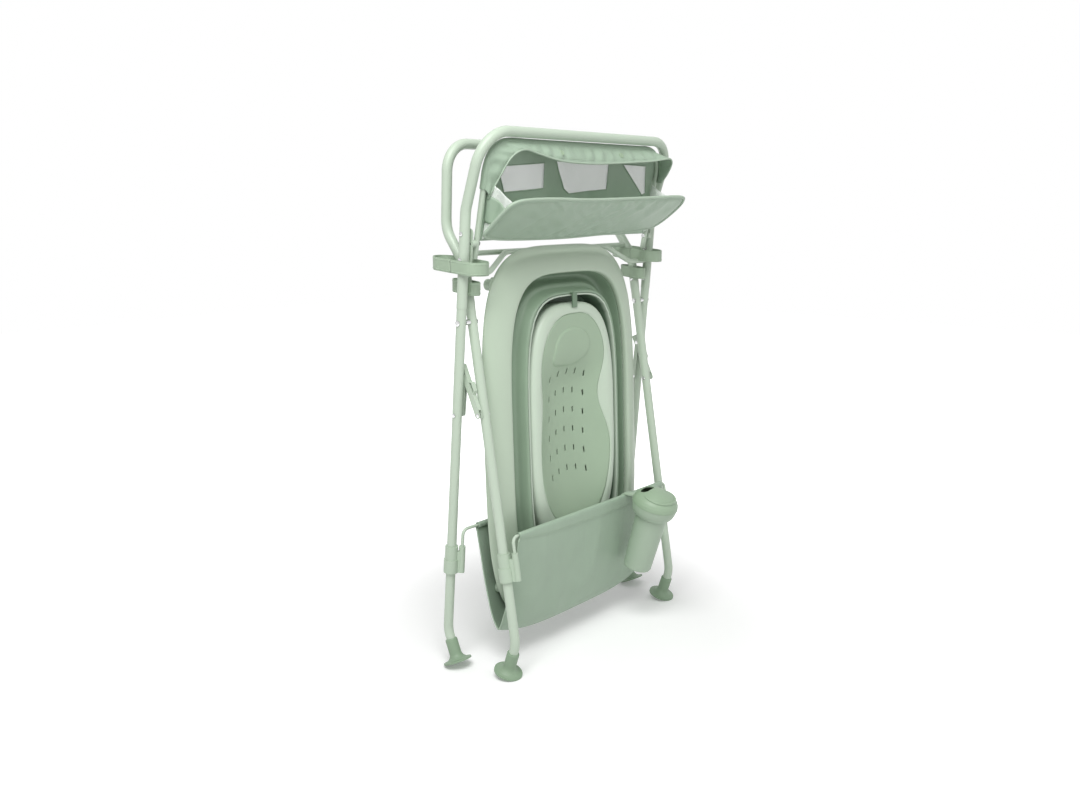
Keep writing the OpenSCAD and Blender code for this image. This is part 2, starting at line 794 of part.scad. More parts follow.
// Basket rods: wires whose ends turn down into clips on the legs
wire_bend_r = 12;
rear_wire_inset = 14;
front_wire_inset = 9;
clip_top_drop = 32;
clip_wall = 3.2;
clip_step = 1.6;
clip_bridge = 9;
clip_bridge_share = 0.8;
rod_drop = pivot_height - basket_rod_height;
rear_rod_y = rod_drop * tan(outer_tilt) - rear_rod_reach;
front_rod_y = -rod_drop * tan(inner_tilt) - front_rod_reach;
clip_top_z = basket_rod_height - clip_top_drop;

// Height of a point on a leg, as its distance below the pivot
function down_to(z, tilt) = (pivot_height - z) / cos(tilt);

module basket_rod(half_x, tilt, reach, inset) {
    low = leg_point(half_x - inset, tilt, down_to(clip_top_z - clip_height / 2, tilt) + reach * sin(tilt));
    corner = leg_point(half_x - inset, tilt, down_to(basket_rod_height, tilt));
    color(tube_color) bent_rod(
        both_sides([low - [0, reach, 0], corner - [0, reach, 0]]),
        there_and_back([0, wire_bend_r]),
        wire_d
    );
}

// A moulded clip: a split collar in two steps with a socket for the wire
module basket_clip(half_x, tilt, reach, inset) {
    foot_end = leg_point(half_x, tilt, down_to(clip_top_z - clip_height, tilt));
    side = [-inset, -reach * cos(tilt)];
    socket_d = wire_d + 2 * clip_wall;
    along(foot_end, tube_up(tilt)) difference() {
        union() {
            cylinder(d = leg_d + 2 * clip_wall + 2 * clip_step, h = clip_height / 2);
            cylinder(d = leg_d + 2 * clip_wall, h = clip_height);
            rotate([0, 0, atan2(side.y, side.x)]) translate([0, -clip_bridge / 2, 0])
                cube([norm(side), clip_bridge, clip_height * clip_bridge_share]);
            translate(side) cylinder(d = socket_d, h = clip_height);
        }
        translate([0, 0, -over]) cylinder(d = leg_d + 2 * seat_fit, h = clip_height + 2 * over);
        translate([side.x, side.y, clip_height / 2 - rest_gap])
            cylinder(d = wire_d + 2 * seat_fit, h = clip_height);
    }
}

module basket_rear_rod() {
    placed() basket_rod(outer_half_width, outer_tilt, rear_rod_reach, rear_wire_inset);
}
module basket_front_rod() {
    placed() basket_rod(inner_half_width, -inner_tilt, front_rod_reach, front_wire_inset);
}
module basket_rear_clips() {
    placed() color(foot_color) both()
        basket_clip(outer_half_width, outer_tilt, rear_rod_reach, rear_wire_inset);
}
module basket_front_clips() {
    placed() color(foot_color) both()
        basket_clip(inner_half_width, -inner_tilt, front_rod_reach, front_wire_inset);
}

// Closed profile of a sheet of thickness t that follows a line of points in a plane
function line_normal(line, i) =
    let (a = line[max(i - 1, 0)], b = line[min(i + 1, len(line) - 1)])
    let (d = unit(b - a))
    [-d.y, d.x];
function sheet_profile(line, t) = concat(
    [for (i = [0 : len(line) - 1]) line[i] + t / 2 * line_normal(line, i)],
    [for (i = [len(line) - 1 : -1 : 0]) line[i] - t / 2 * line_normal(line, i)]
);

// Basket: a cloth sling hung over both rods, its bottom higher at the open ends
hem_r = wire_d / 2 + rest_gap + cloth_t / 2;
hem_tail = 12;
sling_power = 2.2;
sling_steps = 18;
sling_stations = 14;
sling_mid_y = (front_rod_y + rear_rod_y) / 2;
sling_half = (rear_rod_y - front_rod_y) / 2 + hem_r;
function sling_low(x) = basket_bottom + cloth_t / 2 + basket_end_rise * abs(x / basket_half_width) ^ 4;
// Height of the sling's middle surface at y, on the station x
function sling_z(x, y) =
    basket_rod_height
    - (basket_rod_height - sling_low(x))
    * (1 - abs((y - sling_mid_y) / sling_half) ^ sling_power) ^ (1 / sling_power);
function sling_line(x) = concat(
    [[front_rod_y + hem_r, basket_rod_height - hem_tail]],
    [for (a = [0 : 45 : 135]) [front_rod_y + hem_r * cos(a), basket_rod_height + hem_r * sin(a)]],
    [
        for (i = [0 : sling_steps])
            let (a = 180 + 180 * i / sling_steps)
            [
                sling_mid_y + sling_half * sign(cos(a)) * abs(cos(a)) ^ (2 / sling_power),
                basket_rod_height - (basket_rod_height - sling_low(x)) * abs(sin(a)) ^ (2 / sling_power)
            ]
    ],
    [for (a = [45 : 45 : 180]) [rear_rod_y + hem_r * cos(a), basket_rod_height + hem_r * sin(a)]],
    [[rear_rod_y - hem_r, basket_rod_height - hem_tail]]
);
module basket() {
    placed() color(cloth_color) capped_skin([
        for (i = [0 : sling_stations])
            let (x = basket_half_width * (2 * i / sling_stations - 1))
            [for (p = sheet_profile(sling_line(x), cloth_t)) [x, p.x, p.y]]
    ]);
}

// Straps: a loop of webbing round both upper tubes and a band round the inner one
strap_rise = 104;
strap_z = pivot_height + strap_rise;
strap_y = 12;
strap_slope = 12;
band_rise = 64;
band_z = pivot_height + band_rise;
band_y = 12;
band_slope = -6;
band_length = 58;
module webbing_loop(half_x, length, t) {
    straight = length - 2 * half_x;
    linear_extrude(strap_width, center = true) difference() {
        stadium(half_x + t / 2, straight);
        stadium(half_x - t / 2, straight);
    }
}
module stadium(r, straight) {
    translate([-r, -straight / 2]) square([2 * r, straight]);
    for (y = [-straight / 2, straight / 2]) translate([0, y]) circle(r = r);
}
module strap_right() {
    inner_x = inner_half_width - upper_d / 2 - rest_gap - strap_t / 2;
    outer_x = outer_half_width + upper_d / 2 + 2 * rest_gap + rivet_head_t + strap_t / 2;
    placed() color(wall_color) {
        translate([(inner_x + outer_x) / 2, strap_y, strap_z]) rotate([-strap_slope, 0, 0])
            webbing_loop((outer_x - inner_x) / 2, strap_loop, strap_t);
        translate([(inner_x + brace_half_width) / 2, band_y, band_z]) rotate([-band_slope, 0, 0])
            webbing_loop((brace_half_width - inner_x) / 2, band_length, strap_t);
    }
}
module strap_left() {
    mirror([1, 0, 0]) strap_right();
}

// Stored tub: its lip plane stands behind the legs' crossing and leans to the rear
tub_bottom = tub_seat_z();
tub_mid_z = (tub_top + tub_bottom) / 2;
tub_half_length = (tub_top - tub_bottom) / 2 / cos(tub_lean);
tub_power = 4;
tub_steps = 64;
function lip_y_at(z) = tub_lip_y + (z - (tub_top + basket_bottom) / 2) * tan(tub_lean);
// Height at which the tub's lower lip rests on the basket's cloth
function tub_seat_z() = sling_z(0, lip_y_at(basket_bottom)) + cloth_t / 2 + 4 * rest_gap;

// Draws children in the tub's frame: x across, y to the rear from the lip, z along the tub
module on_tub() {
    placed() translate([0, lip_y_at(tub_mid_z), tub_mid_z]) rotate([-tub_lean, 0, 0]) children();
}
// A loop round the tub, set in from its outline by inset, at depth y
function tub_row(inset, y, power) = [
    for (p = squircle(tub_half_width - inset, tub_half_length - inset, power, tub_steps)) [p.x, y, p.y]
];

rim_steps = 5;
rim_edge_share = 0.93;
rim_roll_shares = [0.84, 0.55];
module tub_rim() {
    crest = rim_width * rim_edge_share;
    shell = function (wall) concat(
        [
            for (i = [0 : rim_steps])
                let (a = 90 * i / rim_steps)
                [wall + (crest - wall) * (1 - cos(a)), -(rim_crown - wall) * sin(a)]
        ],
        [for (s = rim_roll_shares)
            [rim_width - wall, -rim_crown * s + (s == rim_roll_shares[0] ? wall / 2 : 0)]]
    );
    outer = shell(0);
    inner = shell(rim_wall);
    profile = concat(outer, [for (i = [len(inner) - 1 : -1 : 0]) inner[i]]);
    color(rim_color) on_tub() ring_skin([for (p = profile) tub_row(p.x, p.y, tub_power)]);
}

// Folded wall: a soft sheet that goes back from the rim, turns and comes forward to the base
base_inset = rim_width + groove_width + 2 * rest_gap;
base_front = 29;
base_wall = 3;
// Course of the fold: shares of the groove's width, and of its depth or, forward, of the base's front
fold_shares = [
    [0.05, 0], [0.1, 0.8], [0.2, 1], [0.38, 1], [0.5, 0.34],
    [0.65, 0], [0.82, -0.15], [0.93, -0.45], [1, -0.85]
];
function fold_line() =
    let (a = rim_width - rim_wall / 2, g = base_inset - fold_wall / 2 - rest_gap - a)
    concat(
        [[a, rest_gap - rim_crown * rim_roll_shares[1]]],
        [for (s = fold_shares) [a + g * s.x, s.y * (s.y > 0 ? tub_depth - fold_wall : base_front)]]
    );
module tub_fold_wall() {
    color(wall_color) on_tub()
        ring_skin([for (p = sheet_profile(fold_line(), fold_wall)) tub_row(p.x, p.y, tub_power)]);
}

// Base of the tub: a tray whose edge shows round the insert
base_half_x = tub_half_width - base_inset;
base_half_z = tub_half_length - base_inset;
plug_d = 26;
plug_flange_d = 32;
plug_t = 3;
plug_from_end = 24;
plug_knob_d = 8.7;
plug_knob_h = 6;
plug_z = base_wall + plug_from_end - base_half_z;
module tub_base() {
    color(wall_color) on_tub() difference() {
        translate([0, tub_depth, 0]) rotate([90, 0, 0]) linear_extrude(base_front + tub_depth)
            polygon(squircle(base_half_x, base_half_z, tub_power, tub_steps));
        translate([0, tub_depth - base_wall, 0]) rotate([90, 0, 0]) linear_extrude(base_front + tub_depth)
            polygon(squircle(base_half_x - base_wall, base_half_z - base_wall, tub_power, tub_steps));
        translate([0, tub_depth + over, plug_z]) rotate([90, 0, 0])
            cylinder(d = plug_d, h = base_wall + 2 * over);
    }
}
module drain_plug() {
    color(foot_color) on_tub() translate([0, tub_depth, plug_z]) rotate([90, 0, 0]) {
        cylinder(d = plug_d - 2 * rest_gap, h = base_wall + rest_gap);
        translate([0, 0, base_wall + rest_gap]) cylinder(d = plug_flange_d, h = plug_t);
        translate([0, 0, base_wall + rest_gap + plug_t]) cylinder(d = plug_knob_d, h = plug_knob_h);
    }
}

// Knobs behind the rim's corners, on which the open tub stands
knob_d = 22;
knob_length = 18;
knob_edge = 2.75;
knob_tip_share = 0.75;
knob_inset = 41;
knob_from_top = 68;
knob_from_bottom = 88;
knob_lobe_d = 13;
knob_lobe_out = 7.3;
knob_lobe_share = 0.7;
module tub_foot_knob(end) {
    cylinder(d = knob_d, h = knob_length - knob_edge);
    translate([0, 0, knob_length - knob_edge])
        cylinder(d1 = knob_d, d2 = knob_d * knob_tip_share, h = knob_edge);
    translate([-knob_d / 2, end * knob_lobe_out, 0])
        cylinder(d = knob_lobe_d, h = knob_length * knob_lobe_share);
}
module tub_feet() {
    x = tub_half_width - knob_inset;
    color(foot_color) on_tub() both() {
        translate([x, rest_gap, tub_half_length - knob_from_top]) rotate([-90, 0, 0]) tub_foot_knob(-1);
        translate([x, rest_gap, knob_from_bottom - tub_half_length]) rotate([-90, 0, 0]) tub_foot_knob(1);
    }
}

// Bath insert: a bolstered shell round an hourglass pad
insert_half_width = base_half_x - insert_side_gap;
insert_mid_z = 14;
insert_power = 3.2;
insert_steps = 64;
insert_back = tub_depth - base_wall - rest_gap;
insert_proud = 4;
insert_front = base_front + insert_proud;
pad_front = insert_front - insert_depth;
insert_skin = 3;
pad_side_inset = 37;
pad_end_inset = 25.5;
pad_half_x = insert_half_width - pad_side_inset;
pad_half_z = insert_length / 2 - pad_end_inset;
pad_rise = 6;
pad_power = 2.6;
waist_at_share = 0.2;
waist_spread_share = 0.3;
waist_depth_share = 0.45;
hip_share = 1.2;
// The pad's outline: narrow at the waist and wide at the hips
function pad_outline(trim) = [
    for (p = squircle(pad_half_x, pad_half_z, pad_power, insert_steps))
        let (v = p.y / pad_half_z)
        let (waist = hip_share - waist_depth_share * exp(-((v - waist_at_share) / waist_spread_share) ^ 2))
        [p.x * waist * (1 - trim / pad_half_x), p.y * (1 - trim / pad_half_z) + pad_rise]
];
// A loop between the shell's outline and the pad's, at depth y
function insert_row(share, y) =
    let (outer = squircle(insert_half_width, insert_length / 2, insert_power, insert_steps))
    let (inner = pad_outline(0))
    [
        for (i = [0 : insert_steps - 1])
            let (p = outer[i] + share * (inner[i] - outer[i]))
            [p.x, -y, p.y]
    ];
module on_insert() {
    on_tub() translate([0, 0, insert_mid_z]) children();
}
// Rows of the shell: share of the way to the pad's outline, and share of the insert's depth
insert_front_shares = [[0, 0.45], [0.08, 0.12], [0.25, 0], [0.55, 0], [0.8, 0.15], [0.94, 0.5], [1, 1]];
insert_inner_shares = [[0.88, 0.5], [0.55, 0], [0.25, 0], [0.12, 0.45]];
insert_edge_share = 0.08;
module insert_shell() {
    color(rim_color) on_insert() ring_skin(concat(
        [insert_row(0, -insert_back)],
        [for (s = insert_front_shares) insert_row(s.x, insert_front - insert_depth * s.y)],
        [insert_row(1, pad_front - pad_t)],
        [for (s = insert_inner_shares) insert_row(s.x, insert_front - insert_depth * s.y - insert_skin)],
        [insert_row(insert_edge_share, -insert_back)]
    ));
}

slot_rows = 6;
slot_columns = 5;
slot_length = 9;
slot_width = 3.2;
slot_span_share = 0.48;
slot_pitch_z = 30;
slot_bow = 10;
slots_top = 58;
head_share = 0.6;
head_d = 2 * pad_half_x * head_share;
head_rise = 150;
head_t = 1.2;
module insert_pad() {
    color(pad_color) on_insert() translate([0, -pad_front, 0]) rotate([90, 0, 0]) mirror([0, 0, 1]) {
        linear_extrude(pad_t) difference() {
            polygon(pad_outline(rest_gap));
            for (row = [0 : slot_rows - 1], column = [0 : slot_columns - 1])
                let (u = 2 * column / (slot_columns - 1) - 1)
                translate([
                    u * slot_span_share * pad_half_x,
                    slots_top - row * slot_pitch_z + slot_bow * (1 - u * u)
                ])
                stadium(slot_width / 2, slot_length - slot_width);
        }
        translate([0, head_rise, -head_t]) linear_extrude(head_t) head_rest();
    }
}
// Raised headrest: a round pad drawn out to one lower corner
head_corner_shares = [[0, 0], [-0.5, 0], [-0.46, -0.46], [0, -0.5]];
module head_rest() {
    circle(d = head_d);
    polygon([for (s = head_corner_shares) head_d * s]);
}

hook_width = 14;
hook_t = 2.6;
hook_overlap = 9;
hook_lip = 8;
module insert_hook() {
    top = insert_mid_z + insert_length / 2;
    reach = base_half_z - top + over;
    color(foot_color) on_tub()
        translate([-hook_width / 2, -insert_front - rest_gap - hook_t, top - hook_overlap]) {
            cube([hook_width, hook_t, hook_overlap + reach + hook_t]);
            translate([0, 0, hook_overlap + reach]) cube([hook_width, hook_lip + hook_t, hook_t]);
        }
}

// Organizer: a hinged frame with a cloth back, mesh windows, a hood and a padded bottom
tray_tail = 28;
tray_corner_r = 50;
tray_wall = 1;
module on_tray() {
    placed() translate([0, -tray_hinge_reach, tray_hinge_z]) rotate([tray_lean, 0, 0]) children();
}
tray_points = both_sides([[tray_half_width, 0, -tray_tail], [tray_half_width, 0, tray_frame_length]]);
module tray_frame() {
    color(tube_color) on_tray() difference() {
        bent_tube(tray_points, there_and_back([0, tray_corner_r]), tray_tube_d, tray_wall);
        translate([-2 * tray_half_width, 0, 0]) rotate([0, 90, 0])
            cylinder(d = rivet_d + 2 * turn_fit, h = 4 * tray_half_width);
    }
}

// Thickness of the hood's cloth
hood_t = 1.2;
back_inset = tray_tube_d / 2 + 2 * rest_gap + hood_t;
back_low = 4;
// Windows: corners as shares of the cloth's half width and of the frame's length
window_shares = [
    [[-0.87, 0.745], [-0.41, 0.805], [-0.37, 0.56], [-0.77, 0.51]],
    [[-0.28, 0.83], [0.36, 0.83], [0.385, 0.545], [-0.06, 0.49], [-0.135, 0.545]],
    [[0.545, 0.825], [0.87, 0.815], [0.93, 0.505], [0.88, 0.485]]
];
mesh_low_share = 0.44;
mesh_high_share = 0.87;
mesh_half_share = 0.95;
mesh_t = 0.6;
module windows() {
    half = tray_half_width - back_inset;
    for (corners = window_shares) polygon([for (c = corners) [half * c.x, tray_frame_length * c.y]]);
}
module tray_back() {
    half = tray_half_width - back_inset;
    top = tray_frame_length - back_inset;
    corner = tray_corner_r - back_inset;
    color(cloth_color) on_tray() translate([0, cloth_t / 2, 0]) rotate([90, 0, 0])
        linear_extrude(cloth_t) difference() {
            union() {
                translate([-half, back_low]) square([2 * half, top - corner - back_low]);
                translate([corner - half, back_low]) square([2 * (half - corner), top - back_low]);
                for (x = [corner - half, half - corner]) translate([x, top - corner]) circle(r = corner);
            }
            windows();
        }
}
// Mesh sewn behind the windows, as one strip
module tray_windows() {
    half = (tray_half_width - back_inset) * mesh_half_share;
    low = tray_frame_length * mesh_low_share;
    color(mesh_color) on_tray() translate([-half, cloth_t / 2 + rest_gap, low])
        cube([2 * half, mesh_t, tray_frame_length * mesh_high_share - low]);
}

hood_r = tray_tube_d / 2 + rest_gap + hood_t / 2;
hood_back = 22;
flap_reaches = [[12, 6], [22, 13], [30, 20]];
sleeve_from = 84;
module tray_hood() {
    half = tray_half_width - tray_corner_r - rest_gap;
    line = concat(
        [[hood_r, tray_frame_length - hood_back]],
        [for (a = [0 : 22.5 : 180]) [hood_r * cos(a), tray_frame_length + hood_r * sin(a)]],
        [for (p = flap_reaches) [-p.x, tray_frame_length - p.y]]
    );
    color(cloth_color) on_tray() {
        translate([-half, 0, 0]) rotate([90, 0, 90]) linear_extrude(2 * half)
            polygon(sheet_profile(line, hood_t));
        both() translate([tray_half_width, 0, sleeve_from]) difference() {
            cylinder(d = 2 * hood_r + hood_t, h = tray_frame_length - tray_corner_r - sleeve_from);
            translate([0, 0, -over])
                cylinder(d = 2 * hood_r - hood_t, h = tray_frame_length + 2 * over);
        }
    }
}

panel_corner_r = 46;
panel_low_rise = 2;
module tray_panel() {
    r = panel_corner_r;
    tilt = panel_rise + tray_lean;
    panel_length = 2 * (tray_half_width + panel_overhang);
    color(cloth_color) on_tray()
        translate([0, -cloth_t / 2 - rest_gap - panel_t / 2 * sin(tilt), panel_low_rise])
        rotate([180 - tilt, 0, 0]) translate([0, 0, -panel_t / 2]) linear_extrude(panel_t) {
            translate([-panel_length / 2, r]) square([panel_length, panel_width - 2 * r]);
            translate([r - panel_length / 2, 0]) square([panel_length - 2 * r, panel_width]);
            for (x = [r - panel_length / 2, panel_length / 2 - r], y = [r, panel_width - r])
                translate([x, y]) circle(r = r);
        }
}

// Rinse cup: hooked over the basket's front rod, leaning forward
cup_hook_gap = 75;
cup_hang = 157;
cup_floor = 3;
cup_dir = [0, -sin(cup_lean), cos(cup_lean)];
cup_base = [cup_x, front_rod_y - cup_hook_gap, basket_rod_height] - cup_hang * cup_dir;
cup_foot_r = 4;
lid_lip = 1;
flare_steps = 6;
module on_cup() {
    placed() along(cup_base, cup_dir) children();
}
// The flared mouth's line from its neck to its rim, moved out by a gap and up by a lift
function flare_line(out, lift) =
    let (t = cup_top_d / 2, m = lid_d / 2 - lid_lip)
    [
        for (i = [0 : flare_steps])
            let (a = 90 * i / flare_steps)
            [t + out + (m - t) * sin(a), cup_height + lift * cos(a) - cup_flare * cos(a)]
    ];
module cup_body() {
    b = cup_bottom_d / 2;
    inner = flare_line(-cup_wall, cup_wall);
    color(cup_color) on_cup() rotate_extrude() polygon(concat(
        [[0, 0], [b - cup_foot_r, 0], [b - cup_foot_r / 3, cup_foot_r / 3], [b, cup_foot_r]],
        flare_line(0, 0),
        [for (i = [flare_steps : -1 : 0]) inner[i]],
        [[b - cup_wall, cup_foot_r], [b - cup_foot_r, cup_floor], [0, cup_floor]]
    ));
}

// Hook: an arm from the cup's mouth over the basket's hem, seated on the flare
hook_arm_t = 3;
hook_arm_width = 20;
hook_arm_tail = 14;
hook_arm_start = 16;
module cup_hook() {
    arm_r = hem_r + cloth_t / 2 + rest_gap + hook_arm_t / 2;
    start_y = front_rod_y - cup_hook_gap + lid_d / 2 - hook_arm_start;
    line = concat(
        [[start_y, basket_rod_height + arm_r]],
        [for (a = [90 : -15 : 0]) [front_rod_y + arm_r * cos(a), basket_rod_height + arm_r * sin(a)]],
        [[front_rod_y + arm_r, basket_rod_height - hook_arm_tail]]
    );
    color(cup_color) difference() {
        placed() translate([cup_x - hook_arm_width / 2, 0, 0]) rotate([90, 0, 90])
            linear_extrude(hook_arm_width) polygon(sheet_profile(line, hook_arm_t));
        on_cup() rotate_extrude() polygon(concat(
            [[0, 0], [cup_top_d / 2 + rest_gap, 0]],
            flare_line(rest_gap, 0),
            [for (h = [cup_height, cup_height + lid_height]) [lid_d / 2 + rest_gap, h]],
            [[0, cup_height + lid_height]]
        ));
    }
}

// Lid: a dome with a pouring mouth and a ring of spray holes, plugged into the cup
lid_wall = 2.4;
lid_edge = 2;
lid_plug = 3.5;
lid_steps = 8;
spout_length = 34;
spout_width = 17;
spout_shares = [-0.18, 0.45];
spray_holes = 7;
spray_d = 3;
spray_ring_share = 0.16;
spray_shares = [0.45, -0.2];
module cup_lid() {
    r = lid_d / 2;
    plug_r = r - lid_lip - cup_wall - 2 * rest_gap;
    dome = lid_height - lid_edge;
    inner_start = acos((plug_r - lid_wall) / (r - lid_wall));
    color(cup_color) on_cup() translate([0, 0, cup_height + rest_gap]) difference() {
        rotate_extrude() polygon(concat(
            [[plug_r, -lid_plug], [plug_r, 0], [r, 0]],
            [for (i = [0 : lid_steps]) let (a = 90 * i / lid_steps) [r * cos(a), lid_edge + dome * sin(a)]],
            [
                for (i = [0 : lid_steps])
                    let (a = 90 - (90 - inner_start) * i / lid_steps)
                    [(r - lid_wall) * cos(a), lid_edge + (dome - lid_wall) * sin(a)]
            ],
            [[plug_r - lid_wall, -lid_plug]]
        ));
        translate([r * spout_shares.x, r * spout_shares.y, 0]) rotate([0, 0, 90])
            linear_extrude(2 * lid_height) stadium(spout_width / 2, spout_length - spout_width);
        for (i = [0 : spray_holes - 1])
            let (a = 360 * i / (spray_holes - 1))
            let (k = i == spray_holes - 1 ? 0 : r * spray_ring_share)
            translate([k * cos(a) + r * spray_shares.x, k * sin(a) + r * spray_shares.y, 0])
                cylinder(d = spray_d, h = 2 * lid_height);
    }
}

pivot_pins();
pivot_spacers();
outer_upper_tube();
rear_leg_left();
rear_leg_right();
rear_foot_left();
rear_foot_right();
support_rod();
tray_bracket_left();
tray_bracket_right();
outer_frame_rivets();
basket_rear_rod();
basket_rear_clips();
inner_upper_tube();
front_leg_left();
front_leg_right();
front_foot_left();
front_foot_right();
cross_bar();
inner_frame_rivets();
basket_front_rod();
basket_front_clips();
rear_link_left();
rear_link_right();
front_link_left();
front_link_right();
knee_rivets_left();
knee_rivets_right();
outer_button_left();
outer_button_right();
inner_button_left();
inner_button_right();
basket();
strap_left();
strap_right();
tub_rim();
tub_fold_wall();
tub_base();
tub_feet();
drain_plug();
insert_shell();
insert_pad();
insert_hook();
tray_frame();
tray_back();
tray_windows();
tray_hood();
tray_panel();
cup_body();
cup_hook();
cup_lid();
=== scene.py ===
import json
import math

import bmesh
import bpy
from mathutils import Matrix, Vector, noise
from mathutils.bvhtree import BVHTree


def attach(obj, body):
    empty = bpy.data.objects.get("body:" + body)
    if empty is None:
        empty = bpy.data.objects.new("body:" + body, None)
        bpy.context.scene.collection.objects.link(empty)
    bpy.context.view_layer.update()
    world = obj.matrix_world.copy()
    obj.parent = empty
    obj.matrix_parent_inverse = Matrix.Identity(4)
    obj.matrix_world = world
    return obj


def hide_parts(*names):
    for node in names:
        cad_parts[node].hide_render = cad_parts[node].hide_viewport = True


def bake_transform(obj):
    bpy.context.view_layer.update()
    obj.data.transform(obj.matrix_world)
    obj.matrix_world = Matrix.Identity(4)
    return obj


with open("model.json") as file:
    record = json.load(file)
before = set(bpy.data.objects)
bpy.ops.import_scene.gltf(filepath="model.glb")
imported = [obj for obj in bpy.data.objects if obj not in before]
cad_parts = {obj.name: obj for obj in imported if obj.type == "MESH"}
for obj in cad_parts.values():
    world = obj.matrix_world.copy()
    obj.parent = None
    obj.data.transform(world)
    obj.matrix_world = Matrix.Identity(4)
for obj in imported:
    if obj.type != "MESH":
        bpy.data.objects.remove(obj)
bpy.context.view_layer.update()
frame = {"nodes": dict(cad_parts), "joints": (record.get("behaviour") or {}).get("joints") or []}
NODES = frame["nodes"]
MM = 0.001

# The fold pivot is the scene's point of reference, as in the CAD source
PIVOT = Vector(next(j for j in frame["joints"] if j["name"] == "stand_fold")["pos_m"])


def at(x, y, z):
    """A point given in millimetres across, behind the pivot and above the floor, in the row frame."""
    return Vector((x * MM, PIVOT.y + y * MM, z * MM))


# The stored tub leans in the stand; its frame's middle and half sizes
TUB_LEAN = math.radians(2.2)
TUB_HALF_X = 244
TUB_HALF_Z = 377.65
TUB_MID_Z = 434.6
TUB_LIP_Y = -8.16


# Camera, floor and light

CAMERA_LENS = 35.19
CAMERA_PLACE = at(-1684.5, -1345.9, 906.7)
CAMERA_RIGHT = Vector((0.64038, -0.76805, 0.0))
CAMERA_AHEAD = Vector((0.75359, 0.62832, -0.19317))
WHITE = (1, 1, 1, 1)
FLOOR_SIZE = 12.0
FLOOR_COLOR = (0.93, 0.93, 0.93, 1)
# The floor's glow where it is seen, which grows between two distances from the object's middle
GLOW_DISTANCES = (0.25, 1.15)
GLOW_NEAR = 0.13
GLOW_FAR = 1.0
SURROUND_LIGHT = 0.38
LAMP_SIZE = 1.6
KEY_POWER = 68.0
KEY_PLACE = at(-1500, -900, 2700)
KEY_TARGET = at(0, 0, 550)
FILL_POWER = 5.0
FILL_PLACE = at(900, -2200, 1300)
FILL_TARGET = at(0, 0, 450)


def add_object(name, data):
    thing = bpy.data.objects.new(name, data)
    bpy.context.scene.collection.objects.link(thing)
    return thing


def make_camera():
    data = bpy.data.cameras.new("camera")
    data.lens = CAMERA_LENS
    cam = add_object("camera", data)
    ahead = CAMERA_AHEAD.normalized()
    right = CAMERA_RIGHT.normalized()
    up = right.cross(ahead)
    cam.matrix_world = Matrix.Translation(CAMERA_PLACE) @ Matrix((right, up, -ahead)).transposed().to_4x4()
    bpy.context.scene.camera = cam


def new_material(name):
    mat = bpy.data.materials.new(name)
    mat.use_nodes = True
    nodes = mat.node_tree.nodes
    nodes.clear()
    return mat, mat.node_tree, nodes.new("ShaderNodeOutputMaterial")


def math_node(tree, operation, a, b):
    """The result for two sockets or numbers."""
    node = tree.nodes.new("ShaderNodeMath")
    node.operation = operation
    for value, socket in ((a, node.inputs[0]), (b, node.inputs[1])):
        if isinstance(value, (int, float)):
            socket.default_value = value
        else:
            tree.links.new(value, socket)
    return node.outputs[0]


def range_node(tree, factor, ends, low, high):
    """Maps the factor from between two ends to between two values."""
    node = tree.nodes.new("ShaderNodeMapRange")
    for socket, value in zip(("From Min", "From Max", "To Min", "To Max"), (*ends, low, high)):
        node.inputs[socket].default_value = value
    tree.links.new(factor, node.inputs["Value"])
    return node


def seen_directly(tree):
    """1 where the camera, a reflection or a transmission looks, and 0 for the light."""
    rays = tree.nodes.new("ShaderNodeLightPath").outputs
    mirrored = math_node(tree, "MAXIMUM", rays["Is Glossy Ray"], rays["Is Transmission Ray"])
    return math_node(tree, "MAXIMUM", rays["Is Camera Ray"], mirrored)


def make_floor():
    """A pale floor that reads white from the camera and keeps the shadow."""
    half = FLOOR_SIZE / 2
    mesh = bpy.data.meshes.new("floor")
    corners = [(-half, -half, 0), (half, -half, 0), (half, half, 0), (-half, half, 0)]
    mesh.from_pydata(corners, [], [(0, 1, 2, 3)])
    mat, tree, out = new_material("floor")
    surface = tree.nodes.new("ShaderNodeBsdfDiffuse")
    surface.inputs["Color"].default_value = FLOOR_COLOR
    far = tree.nodes.new("ShaderNodeVectorMath")
    far.operation = "LENGTH"
    tree.links.new(tree.nodes.new("ShaderNodeTexCoord").outputs["Object"], far.inputs[0])
    lift = range_node(tree, far.outputs["Value"], GLOW_DISTANCES, GLOW_NEAR, GLOW_FAR)
    lift.interpolation_type = "SMOOTHSTEP"
    glow = tree.nodes.new("ShaderNodeEmission")
    tree.links.new(math_node(tree, "MULTIPLY", lift.outputs[0], seen_directly(tree)), glow.inputs["Strength"])
    both = tree.nodes.new("ShaderNodeAddShader")
    tree.links.new(surface.outputs[0], both.inputs[0])
    tree.links.new(glow.outputs[0], both.inputs[1])
    tree.links.new(both.outputs[0], out.inputs[0])
    mesh.materials.append(mat)
    add_object("floor", mesh)


def make_surround():
    """White where it is seen, and dimmer as a light."""
    world = bpy.data.worlds.new("surround")
    world.use_nodes = True
    bpy.context.scene.world = world
    tree = world.node_tree
    back = tree.nodes["Background"]
    back.inputs["Color"].default_value = WHITE
    strength = range_node(tree, seen_directly(tree), (0, 1), SURROUND_LIGHT, 1.0)
    tree.links.new(strength.outputs[0], back.inputs["Strength"])


def make_lamp(name, place, target, power):
    data = bpy.data.lights.new(name, "AREA")
    data.energy = power
    data.size = LAMP_SIZE
    lamp = add_object(name, data)
    lamp.location = place
    lamp.rotation_mode = "QUATERNION"
    lamp.rotation_quaternion = (target - place).to_track_quat("-Z", "Y")


